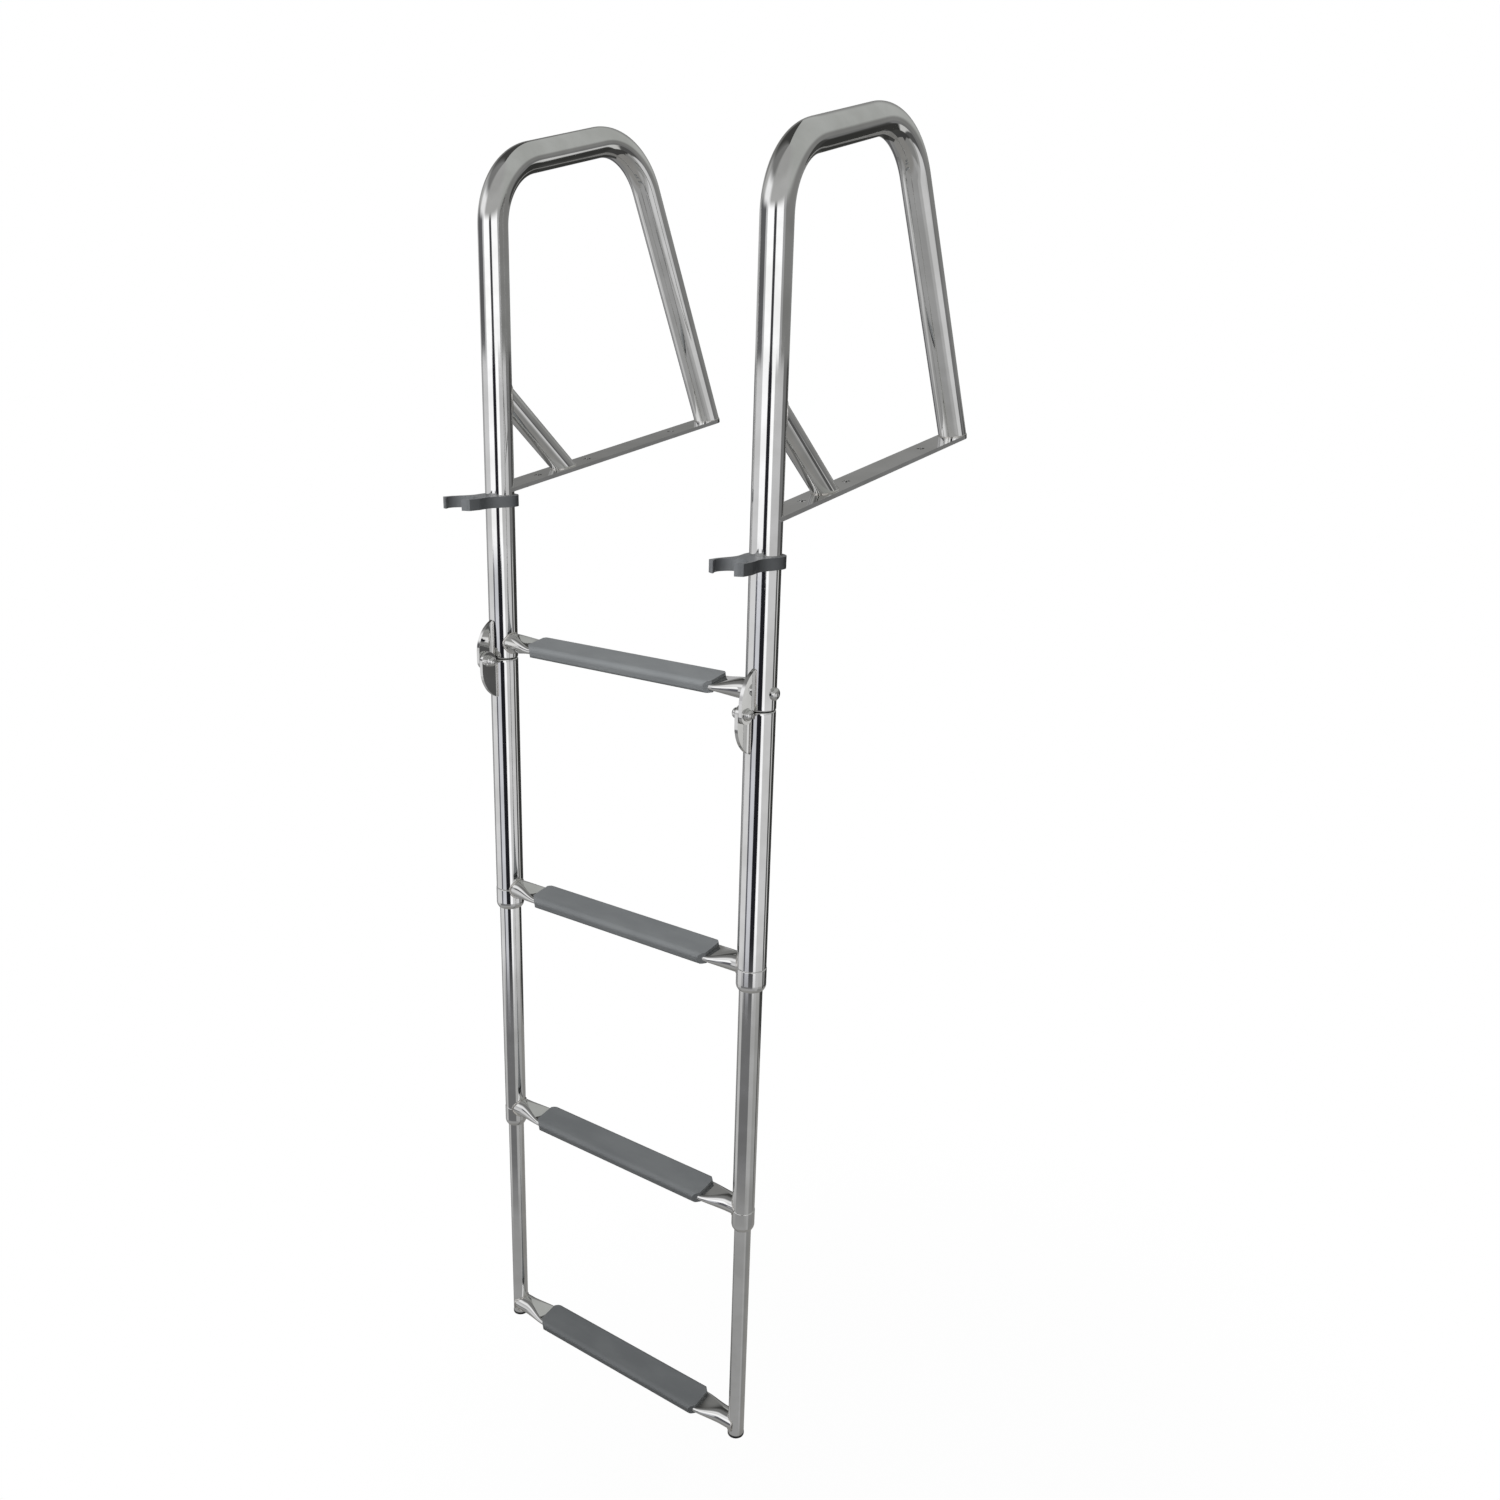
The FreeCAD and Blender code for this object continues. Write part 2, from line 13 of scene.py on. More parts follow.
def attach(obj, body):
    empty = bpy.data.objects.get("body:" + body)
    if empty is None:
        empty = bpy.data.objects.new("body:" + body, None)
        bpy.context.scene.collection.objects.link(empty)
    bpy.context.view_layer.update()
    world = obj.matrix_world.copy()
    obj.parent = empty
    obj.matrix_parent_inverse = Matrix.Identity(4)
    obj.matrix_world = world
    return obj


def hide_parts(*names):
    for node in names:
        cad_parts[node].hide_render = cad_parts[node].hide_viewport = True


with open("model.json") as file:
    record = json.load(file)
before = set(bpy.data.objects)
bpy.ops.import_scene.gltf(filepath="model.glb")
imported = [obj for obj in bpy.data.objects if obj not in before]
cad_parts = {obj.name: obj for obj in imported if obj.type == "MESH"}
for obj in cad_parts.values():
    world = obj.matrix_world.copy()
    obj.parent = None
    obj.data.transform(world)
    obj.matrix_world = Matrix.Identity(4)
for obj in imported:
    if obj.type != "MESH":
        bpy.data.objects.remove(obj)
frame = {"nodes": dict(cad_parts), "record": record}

log = logging.getLogger("ladder")

Colour = Tuple[float, float, float]
Point = Tuple[float, float, float]
Range = Tuple[float, float]
Piece = bpy.types.Object
Finish = bpy.types.Material

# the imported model's own sizes, in metres and radians
LEAN = math.radians(10.0)
LEG_SPACING = 0.357
FRONT_HOLE = 0.062
RAIL_RADIUS = 0.015875
MIDDLE_RADIUS = 0.0127
LOWER_RADIUS = 0.009525
TUBE_WALL = 0.0015
TOP_STEP_DROP = 0.167
STEP_PITCH = 0.300
HINGE_DROP = 0.185
STOP_GAP = 0.0009
HINGE_OFFSET = 0.028
LEAF_THICKNESS = 0.004
LEAF_LENGTH = 0.044
LEAF_NECK = 0.005
LEAF_GAP = 0.0004
COLLAR_LENGTH = 0.025
COLLAR_RIM = 0.0004
COLLAR_TAPER = 0.005
STRIP_THICKNESS = 0.0045
STRIP_LENGTH = 0.384
REAR_LEAN = math.radians(16.0)

# distances for merging corners, and for telling that a corner lies in some place
MERGE = 0.00001
NEAR = 0.0001

# edges sharper than this stay sharp on a plain piece, a turned piece and a bead, in degrees
SHARP = 40.0
SHARP_TURNED = 50.0
SHARP_BEAD = 60.0

# corners round a tube, and round the long bar that a ring is pressed against
CORNERS = 64
FORMER_CORNERS = 192
FORMER_LENGTH = 2.2

# how far up a dome its rings go
DOME_REACH = math.radians(86.0)

STEEL = "polished_steel"
WHITE = (1.0, 1.0, 1.0)

UP_LEG = Vector((0.0, math.sin(LEAN), math.cos(LEAN)))
OUT_FRONT = Vector((0.0, -math.cos(LEAN), math.sin(LEAN)))


class Side(Enum):
    """One side of the ladder, seen from the water."""

    LEFT = "left"
    RIGHT = "right"

    @property
    def x(self) -> float:
        """X of this side's leg plane, in metres."""
        return 0.0 if self is Side.LEFT else LEG_SPACING

    @property
    def out(self) -> int:
        """Sign of X away from the ladder's middle."""
        return -1 if self is Side.LEFT else 1


def leg_point(x: float, drop: float, forward: float = 0.0) -> Vector:
    """A point on or in front of a leg.

    Args:
        x: Distance along the steps.
        drop: Distance down the leg from the level of the strips.
        forward: Distance square off the leg, away from the dock.

    Returns:
        The point in the model's frame.
    """
    return Vector((x, -FRONT_HOLE, 0.0)) - UP_LEG * drop + OUT_FRONT * forward


class Body(Enum):
    """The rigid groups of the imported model."""

    RAILS = "fixed_rails"
    UPPER = "upper_section"
    MIDDLE = "middle_section"
    BOTTOM = "bottom_section"


class Term:
    """A number in a shader, so that shader maths reads as plain expressions."""

    def __init__(self, plan: "NodePlan", socket: Any) -> None:
        """Wraps one output socket.

        Args:
            plan: The node plan that new maths nodes are added to.
            socket: The output socket that carries the number.
        """
        self.plan = plan
        self.socket = socket

    def _maths(self, operation: str, *values: Any) -> "Term":
        """Adds one maths node.

        Args:
            operation: Name of the maths operation.
            values: Terms or plain numbers for its inputs.

        Returns:
            The node's result.
        """
        return self.plan.add("ShaderNodeMath", {"operation": operation}, dict(enumerate(values)))

    def __add__(self, other: Any) -> "Term":
        """Sum."""
        return self._maths("ADD", self, other)

    __radd__ = __add__

    def __sub__(self, other: Any) -> "Term":
        """Difference."""
        return self._maths("SUBTRACT", self, other)

    def __rsub__(self, other: Any) -> "Term":
        """Difference with the plain number first."""
        return self._maths("SUBTRACT", other, self)

    def __mul__(self, other: Any) -> "Term":
        """Product."""
        return self._maths("MULTIPLY", self, other)

    __rmul__ = __mul__

    def __truediv__(self, other: Any) -> "Term":
        """Quotient."""
        return self._maths("DIVIDE", self, other)

    def __rtruediv__(self, other: Any) -> "Term":
        """Quotient with the plain number first."""
        return self._maths("DIVIDE", other, self)

    def smooth(self, low: float, high: float) -> "Term":
        """Smooth step between two values.

        Args:
            low: Value that gives 0.
            high: Value that gives 1.

        Returns:
            A number from 0 to 1.
        """
        inputs = {"Value": self, "From Min": low, "From Max": high}
        return self.plan.add("ShaderNodeMapRange", {"interpolation_type": "SMOOTHSTEP"}, inputs)


class NodePlan:
    """The node tree of one material or world."""

    def __init__(self, owner: Any) -> None:
        """Starts an empty tree.

        Args:
            owner: A material or a world.
        """
        owner.use_nodes = True
        self.tree = owner.node_tree
        self.tree.nodes.clear()

    def add(self, kind: str, settings: dict, inputs: dict, output: Union[int, str] = 0) -> Term:
        """Adds a node, sets it up, then feeds it.

        Args:
            kind: The node's type.
            settings: Its properties; "stops" fills a colour ramp with (position, colour) pairs.
            inputs: Socket name or number to a plain value or a Term.
            output: The output wanted.

        Returns:
            That output as a Term.
        """
        node = self.tree.nodes.new(kind)
        for name, value in settings.items():
            if name == "stops":
                ramp = node.color_ramp.elements
                while len(ramp) < len(value):
                    ramp.new(1.0)
                for stop, (position, colour) in zip(ramp, value):
                    stop.position = position
                    stop.color = (*colour, 1.0)
            else:
                setattr(node, name, value)
        for name, value in inputs.items():
            if isinstance(value, Term):
                self.tree.links.new(value.socket, node.inputs[name])
            elif isinstance(value, tuple) and len(value) == 3 and node.inputs[name].type == "RGBA":
                node.inputs[name].default_value = (*value, 1.0)
            else:
                node.inputs[name].default_value = value
        return Term(self, node.outputs[output])

    def place(self, turn: Point = (0.0, 0.0, 0.0), scale: Point = (1.0, 1.0, 1.0)) -> Term:
        """Object coordinates, turned and scaled.

        Args:
            turn: Rotation in degrees about X, Y and Z.
            scale: Scale along the turned axes.

        Returns:
            The coordinates.
        """
        where = self.add("ShaderNodeTexCoord", {}, {}, "Object")
        turned = self.add(
            "ShaderNodeMapping",
            {"vector_type": "POINT"},
            {"Vector": where, "Rotation": tuple(math.radians(angle) for angle in turn)},
        )
        return self.add("ShaderNodeVectorMath", {"operation": "MULTIPLY"}, {0: turned, 1: scale})

    def vectors(self, operation: str, first: Any, second: Any) -> Term:
        """A number worked out from two vectors.

        Args:
            operation: Name of the vector maths operation.
            first: Vector.
            second: Vector.

        Returns:
            The number.
        """
        return self.add("ShaderNodeVectorMath", {"operation": operation}, {0: first, 1: second}, "Value")

    def rays(self, *kinds: str) -> Term:
        """Tells some kinds of rays from all others.

        Args:
            kinds: The kinds, as the light path node names them.

        Returns:
            1 for rays of these kinds, 0 for any other.
        """
        path = self.tree.nodes.new("ShaderNodeLightPath")
        shares = [Term(self, path.outputs[f"Is {kind} Ray"]) for kind in kinds]
        return sum(shares[1:], shares[0])

    def noise(self, where: Term, scale: float, detail: float = 2.0, rough: float = 0.5) -> Term:
        """Fractal noise around 0.5.

        Args:
            where: Coordinates.
            scale: Features to the metre.
            detail: Octaves.
            rough: Share of each finer octave.

        Returns:
            The noise.
        """
        inputs = {"Vector": where, "Scale": scale, "Detail": detail, "Roughness": rough}
        return self.add("ShaderNodeTexNoise", {"noise_dimensions": "3D"}, inputs, "Fac")

    def blend(self, share: Term, first: Any, second: Any) -> Term:
        """Mix of two colours.

        Args:
            share: 0 gives the first, 1 the second.
            first: Colour.
            second: Colour.

        Returns:
            The mixed colour.
        """
        node = self.tree.nodes.new("ShaderNodeMix")
        node.data_type = "RGBA"
        colours = [socket for socket in node.inputs if socket.type == "RGBA"]
        self.tree.links.new(share.socket, node.inputs[0])
        for socket, value in zip(colours, (first, second)):
            if isinstance(value, Term):
                self.tree.links.new(value.socket, socket)
            else:
                socket.default_value = (*value, 1.0)
        result = [socket for socket in node.outputs if socket.type == "RGBA"][0]
        return Term(self, result)

    def bump(self, height: Term, strength: float, depth: float) -> Term:
        """Normal tilted by a height.

        Args:
            height: Height map, 0 to 1.
            strength: Share of the effect.
            depth: Height of 1, in metres.

        Returns:
            The normal.
        """
        return self.add("ShaderNodeBump", {}, {"Height": height, "Strength": strength, "Distance": depth})

    def surface(self, inputs: dict) -> None:
        """Ends a material in a Principled shader.

        Args:
            inputs: Socket name to a plain value or a Term.
        """
        shader = self.add("ShaderNodeBsdfPrincipled", {}, inputs)
        self.add_output("ShaderNodeOutputMaterial", shader)

    def add_output(self, kind: str, shader: Term) -> None:
        """Links a shader to the tree's output.

        Args:
            kind: Type of the output node.
            shader: The shader.
        """
        node = self.tree.nodes.new(kind)
        self.tree.links.new(shader.socket, node.inputs["Surface"])


@dataclass(frozen=True)
class PolishedSteel:
    """Mirror-polished stainless tube, with faint polishing lines along it."""

    name: str = STEEL
    light: Colour = (0.80, 0.80, 0.795)
    dark: Colour = (0.71, 0.71, 0.70)
    gloss: float = 0.045
    haze: float = 0.07
    grain_turn: Point = (-10.0, 0.0, 0.0)
    grain: Point = (900.0, 900.0, 14.0)
    cloud_scale: float = 26.0
    swell_stretch: Point = (1.0, 1.0, 0.35)
    swell_scale: float = 38.0
    streak_height: float = 0.02
    strength: float = 0.35
    wave: float = 0.00003
    tone_range: Range = (0.32, 0.68)
    streak_range: Range = (0.35, 0.8)
    haze_range: Range = (0.3, 0.7)

    def make(self) -> Finish:
        """Builds the material.

        Returns:
            The material.
        """
        material = bpy.data.materials.new(self.name)
        plan = NodePlan(material)
        streaks = plan.noise(plan.place(self.grain_turn, self.grain), 1.0, detail=3.0, rough=0.6)
        clouds = plan.noise(plan.place(), self.cloud_scale, detail=3.0, rough=0.55)
        swelling = plan.place(self.grain_turn, self.swell_stretch)
        swell = plan.noise(swelling, self.swell_scale, detail=1.0, rough=0.4)
        hazy = streaks.smooth(*self.streak_range)
        plan.surface(
            {
                "Base Color": plan.blend(clouds.smooth(*self.tone_range), self.dark, self.light),
                "Metallic": 1.0,
                "Roughness": self.gloss + self.haze * hazy * clouds.smooth(*self.haze_range),
                "Normal": plan.bump(swell + streaks * self.streak_height, self.strength, self.wave),
            }
        )
        return material


@dataclass(frozen=True)
class MouldedPlastic:
    """Matt moulded plastic with a fine spark-eroded grain."""

    name: str
    colour: Colour
    worn: Colour
    roughness: float = 0.42
    grain_scale: float = 1900.0
    grain_depth: float = 0.00005
    strength: float = 0.35
    cloud_stretch: Point = (0.4, 1.0, 1.0)
    cloud_scale: float = 45.0
    worn_range: Range = (0.3, 0.75)
    cloud_gloss: float = 0.10
    grain_gloss: float = 0.08

    def make(self) -> Finish:
        """Builds the material.

        Returns:
            The material.
        """
        material = bpy.data.materials.new(self.name)
        plan = NodePlan(material)
        grain = plan.noise(plan.place(), self.grain_scale, detail=2.0, rough=0.6)
        clouds = plan.noise(plan.place(scale=self.cloud_stretch), self.cloud_scale, detail=3.0, rough=0.5)
        uneven = self.cloud_gloss * (clouds - 0.5) + self.grain_gloss * (grain - 0.5)
        plan.surface(
            {
                "Base Color": plan.blend(clouds.smooth(*self.worn_range), self.colour, self.worn),
                "Roughness": self.roughness + uneven,
                "Normal": plan.bump(grain, self.strength, self.grain_depth),
            }
        )
        return material


@dataclass(frozen=True)
class MouldedRubber:
    """Black rubber with a soft sheen and a little dust."""

    name: str = "plug_rubber"
    colour: Colour = (0.012, 0.012, 0.013)
    dust: Colour = (0.05, 0.05, 0.05)
    speck_scale: float = 900.0
    speck_height: float = 0.00005
    strength: float = 0.2
    dust_range: Range = (0.55, 0.85)
    gloss: float = 0.28
    dust_haze: float = 0.2

    def make(self) -> Finish:
        """Builds the material.

        Returns:
            The material.
        """
        material = bpy.data.materials.new(self.name)
        plan = NodePlan(material)
        specks = plan.noise(plan.place(), self.speck_scale, detail=3.0, rough=0.7)
        plan.surface(
            {
                "Base Color": plan.blend(specks.smooth(*self.dust_range), self.colour, self.dust),
                "Roughness": self.gloss + self.dust_haze * specks,
                "Normal": plan.bump(specks, self.strength, self.speck_height),
            }
        )
        return material


@dataclass(frozen=True)
class Panel:
    """One upright panel of the room, up to an angle seen from above: 0 behind the camera, right positive."""

    end: float
    grey: float
    blue: float = 0.0
    green: float = 0.0

    @property
    def colour(self) -> Colour:
        """The panel's grey with its slight tint."""
        return (self.grey, self.grey + self.green, self.grey + self.blue)


@dataclass(frozen=True)
class Tier:
    """One tier of panels all round the room, from a height along the legs' own direction upwards.

    The foot is a height, the blur half the soft band there, and the edge half a soft upright edge in degrees.
    """

    foot: float
    blur: float
    rows: Tuple[Tuple[float, ...], ...]
    edge: float = 1.2

    def stops(self) -> List[Tuple[float, Colour]]:
        """Colour ramp stops for the row of panels, from -180 degrees upwards.

        Returns:
            Pairs of ramp position and colour.
        """
        panels = [Panel(*row) for row in self.rows]
        made = [(0.0, panels[0].colour)]
        for panel, following in zip(panels, panels[1:]):
            made.append((0.5 + (panel.end - self.edge) / 360.0, panel.colour))
            made.append((0.5 + (panel.end + self.edge) / 360.0, following.colour))
        made.append((1.0, panels[-1].colour))
        return made


# each panel: its end in degrees, its grey, and what its blue and its green differ by
TIERS = (
    Tier(-0.83, 0.07, ((-118, 0.26), (22, 0.37), (44, 0.42), (94, 0.27, -0.005), (180, 0.06))),
    Tier(-0.57, 0.025, (
        (-118, 0.28), (-82, 0.58), (6, 0.19, 0.005), (48, 0.47), (90, 0.38, -0.005), (180, 0.06, -0.002),
    )),
    Tier(-0.44, 0.03, (
        (-146, 0.13, 0.005), (-118, 0.38, 0.005), (-66, 0.78, 0.01), (-54, 0.13, 0.02),
        (-25, 0.72, 0.06, 0.01), (7, 0.016, 0.004), (25, 1.22, 0.02), (85, 0.70, 0.005),
        (101, 0.10), (111, 0.68, -0.01), (180, 0.04, -0.002),
    )),
    Tier(-0.14, 0.012, (
        (-146, 0.13, 0.005), (-118, 0.45, 0.005), (-66, 0.72, 0.01), (-24, 1.22, 0.02), (0, 0.02, 0.005),
        (22, 1.30, 0.01), (84, 0.62, 0.005), (118, 0.20), (180, 0.06, -0.002),
    )),
    Tier(0.0, 0.008, (
        (-134, 0.50, 0.005), (-80, 0.13, 0.005), (-66, 0.60, 0.01), (-20, 1.30, 0.01),
        (-3, 0.06, 0.005), (42, 1.25, 0.01), (58, 0.42, 0.005), (180, 0.24, -0.005),
    )),
    Tier(0.24, 0.09, (
        (-140, 0.22, -0.005), (-110, 0.50, -0.005), (-60, 1.05, 0.01),
        (60, 0.48, -0.005), (150, 0.46, -0.005, 0.01), (180, 0.27, -0.005),
    ), 9.0),
    Tier(0.60, 0.11, (
        (-135, 0.06, -0.002), (-60, 0.22, -0.002), (50, 0.42, -0.005), (180, 0.46, -0.005, 0.01),
    ), 14.0),
)


@dataclass(frozen=True)
class Lamp:
    """A soft square lamp that the steel doesn't mirror."""

    name: str
    place: Point
    size: float
    power: float

    def hang(self, target: Point) -> None:
        """Hangs the lamp.

        Args:
            target: The point that it faces.
        """
        data = bpy.data.lights.new(self.name, "AREA")
        data.shape = "SQUARE"
        data.size = self.size
        data.energy = self.power
        lamp = bpy.data.objects.new(self.name, data)
        lamp.location = self.place
        lamp.visible_glossy = False
        lamp.rotation_euler = (Vector(target) - Vector(self.place)).to_track_quat("-Z", "Y").to_euler()
        bpy.context.scene.collection.objects.link(lamp)


@dataclass
class Studio:
    """The camera, the lamps, the floor and the room that the steel mirrors."""

    focal_px: float = 1326.636
    frame_px: float = 1500.0
    centre_px: Range = (747.465, 784.628)
    eye: Point = (1.080778, -1.081569, 0.327033)
    azimuth: float = 37.116
    elevation: float = 25.799
    roll: float = -4.509
    sensor_width: float = 36.0
    ground: Colour = (0.29, 0.285, 0.275)
    light_above: Colour = (0.11, 0.113, 0.116)
    light_below: Colour = (0.02, 0.021, 0.022)
    floor_middle: Point = (0.18, 0.4, -2.1)
    floor_size: float = 2.6
    floor_tone: float = 0.55
    floor_shade: float = 0.015
    shade_range: Range = (0.15, 0.48)
    haze_height: float = 0.6
    lamps: Tuple[Lamp, ...] = (
        Lamp("front", (0.5, -2.7, 0.5), 2.0, 8.0),
        Lamp("above", (0.35, -0.75, 0.62), 1.0, 12.5),
    )
    lamps_aim: Point = (0.18, -0.1, -0.4)

    def camera(self) -> None:
        """Puts the camera where the photograph was taken from."""
        azimuth = math.radians(self.azimuth)
        elevation = math.radians(self.elevation)
        roll = math.radians(self.roll)
        level = math.cos(elevation)
        back = Vector((math.sin(azimuth) * level, -math.cos(azimuth) * level, math.sin(elevation)))
        right = Vector((0.0, 0.0, 1.0)).cross(back).normalized()
        up = back.cross(right)
        turned_right = math.cos(roll) * right + math.sin(roll) * up
        turned_up = math.cos(roll) * up - math.sin(roll) * right
        data = bpy.data.cameras.new("camera")
        data.sensor_width = self.sensor_width
        data.lens = self.focal_px / self.frame_px * self.sensor_width
        data.shift_x = 0.5 - self.centre_px[0] / self.frame_px
        data.shift_y = self.centre_px[1] / self.frame_px - 0.5
        camera = bpy.data.objects.new("camera", data)
        turn = Matrix((turned_right, turned_up, back)).transposed()
        camera.matrix_world = Matrix.Translation(self.eye) @ turn.to_4x4()
        bpy.context.scene.collection.objects.link(camera)
        bpy.context.scene.camera = camera

    def floor(self) -> None:
        """Lays a wide floor well below the ladder: nearly white for the camera, grey in the steel."""
        bpy.ops.object.select_all(action="DESELECT")
        bpy.ops.mesh.primitive_plane_add(size=self.floor_size, location=self.floor_middle)
        bpy.ops.object.transform_apply(location=True)
        floor = bpy.context.active_object
        floor.name = "floor"
        material = bpy.data.materials.new("floor")
        plan = NodePlan(material)
        matt = plan.add("ShaderNodeBsdfDiffuse", {}, {"Color": (self.floor_tone,) * 3})
        camera_ray = plan.rays("Camera")
        shown = plan.blend(camera_ray, self.ground, WHITE)
        white = plan.add("ShaderNodeEmission", {}, {"Color": shown, "Strength": 1.0})
        where = plan.add("ShaderNodeTexCoord", {}, {}, "Object")
        centre = plan.vectors("DISTANCE", where, self.floor_middle)
        rim = centre.smooth(*(share * self.floor_size for share in self.shade_range))
        fade = (1.0 - self.floor_shade) + self.floor_shade * rim
        bright = camera_ray * fade + plan.rays("Glossy", "Transmission")
        mixed = plan.add("ShaderNodeMixShader", {}, {0: bright, 1: matt, 2: white})
        plan.add_output("ShaderNodeOutputMaterial", mixed)
        floor.data.materials.append(material)

    def room(self) -> None:
        """Makes the room: white for the camera, tiers of panels in the steel, a soft haze for the rest."""
        world = bpy.data.worlds.new("room")
        bpy.context.scene.world = world
        plan = NodePlan(world)
        look = plan.add("ShaderNodeTexCoord", {}, {}, "Generated")
        turned = plan.add(
            "ShaderNodeVectorRotate",
            {"rotation_type": "Z_AXIS"},
            {"Vector": look, "Angle": -math.radians(self.azimuth)},
        )
        parts = plan.tree.nodes.new("ShaderNodeSeparateXYZ")
        plan.tree.links.new(turned.socket, parts.inputs[0])
        across, away, upward = (Term(plan, socket) for socket in parts.outputs)
        height = plan.vectors("DOT_PRODUCT", look, tuple(UP_LEG))
        # 0.5 is behind the camera, and the angle grows to the camera's right
        round_room = plan.add("ShaderNodeMath", {"operation": "ARCTAN2"}, {0: across, 1: away * -1.0})
        turn = round_room / (2 * math.pi) + 0.5
        seen: Any = self.ground
        for tier in TIERS:
            panels = plan.add("ShaderNodeValToRGB", {"stops": tier.stops()}, {"Fac": turn}, "Color")
            seen = plan.blend(height.smooth(tier.foot - tier.blur, tier.foot + tier.blur), seen, panels)
        above = upward.smooth(-self.haze_height, self.haze_height)
        soft = plan.blend(plan.rays("Glossy"), plan.blend(above, self.light_below, self.light_above), seen)
        colour = plan.blend(plan.rays("Camera", "Transmission"), soft, WHITE)
        light = plan.add("ShaderNodeBackground", {}, {"Color": colour, "Strength": 1.0})
        plan.add_output("ShaderNodeOutputWorld", light)

    def set_up(self) -> None:
        """Makes the whole studio."""
        bpy.context.scene.view_settings.view_transform = "Standard"
        self.camera()
        self.floor()
        self.room()
        for lamp in self.lamps:
            lamp.hang(self.lamps_aim)
        log.info("studio ready")


def take(piece: Piece) -> None:
    """Selects one piece alone and makes it the active one.

    Args:
        piece: The piece.
    """
    bpy.ops.object.select_all(action="DESELECT")
    piece.select_set(True)
    bpy.context.view_layer.objects.active = piece


def apply_place() -> None:
    """Applies the active piece's place, turn and scale to its mesh."""
    bpy.ops.object.transform_apply(location=True, rotation=True, scale=True)


def pick(piece: Piece, wanted: Callable[[Vector], bool]) -> None:
    """Selects the corners in some place, and nothing else.

    Args:
        piece: The piece, in edit mode.
        wanted: Tells for a corner's place whether it is wanted.
    """
    bpy.ops.mesh.select_all(action="DESELECT")
    mesh = bmesh.from_edit_mesh(piece.data)
    for corner in mesh.verts:
        corner.select_set(wanted(corner.co))
    mesh.select_flush(True)
    bmesh.update_edit_mesh(piece.data)


def close(sharp: float) -> None:
    """Merges doubles, turns the faces outwards, leaves edit mode and shades the piece smooth.

    Args:
        sharp: Edges sharper than this stay sharp, in degrees.
    """
    bpy.ops.mesh.select_all(action="SELECT")
    bpy.ops.mesh.remove_doubles(threshold=MERGE)
    bpy.ops.mesh.normals_make_consistent(inside=False)
    bpy.ops.object.mode_set(mode="OBJECT")
    bpy.ops.object.shade_smooth_by_angle(angle=math.radians(sharp))


def modify(piece: Piece, kind: str, **settings: Any) -> None:
    """Adds a modifier, sets it up and applies it.

    Args:
        piece: The piece, active and selected.
        kind: The modifier's type.
        settings: Its properties.
    """
    modifier = piece.modifiers.new(kind.lower(), kind)
    for name, value in settings.items():
        setattr(modifier, name, value)
    bpy.ops.object.modifier_apply(modifier=modifier.name)


def round_edges(piece: Piece, width: float, angle: float, sharp: float, segments: int = 3) -> None:
    """Rounds the edges of a piece and shades it smooth.

    Args:
        piece: The piece, active and selected.
        width: Width of the rounding.
        angle: Edges sharper than this are rounded, in degrees.
        sharp: Edges that are sharper than this afterwards stay sharp, in degrees.
        segments: Faces across a rounded edge.
    """
    limit = math.radians(angle)
    modify(piece, "BEVEL", width=width, segments=segments, limit_method="ANGLE", angle_limit=limit)
    bpy.ops.object.shade_smooth_by_angle(angle=math.radians(sharp))


def firm(piece: Piece) -> None:
    """Keeps the shading of large flat faces flat beside their rounded edges.

    Args:
        piece: The piece, active and selected.
    """
    modify(piece, "WEIGHTED_NORMAL", mode="FACE_AREA", weight=100, keep_sharp=True)


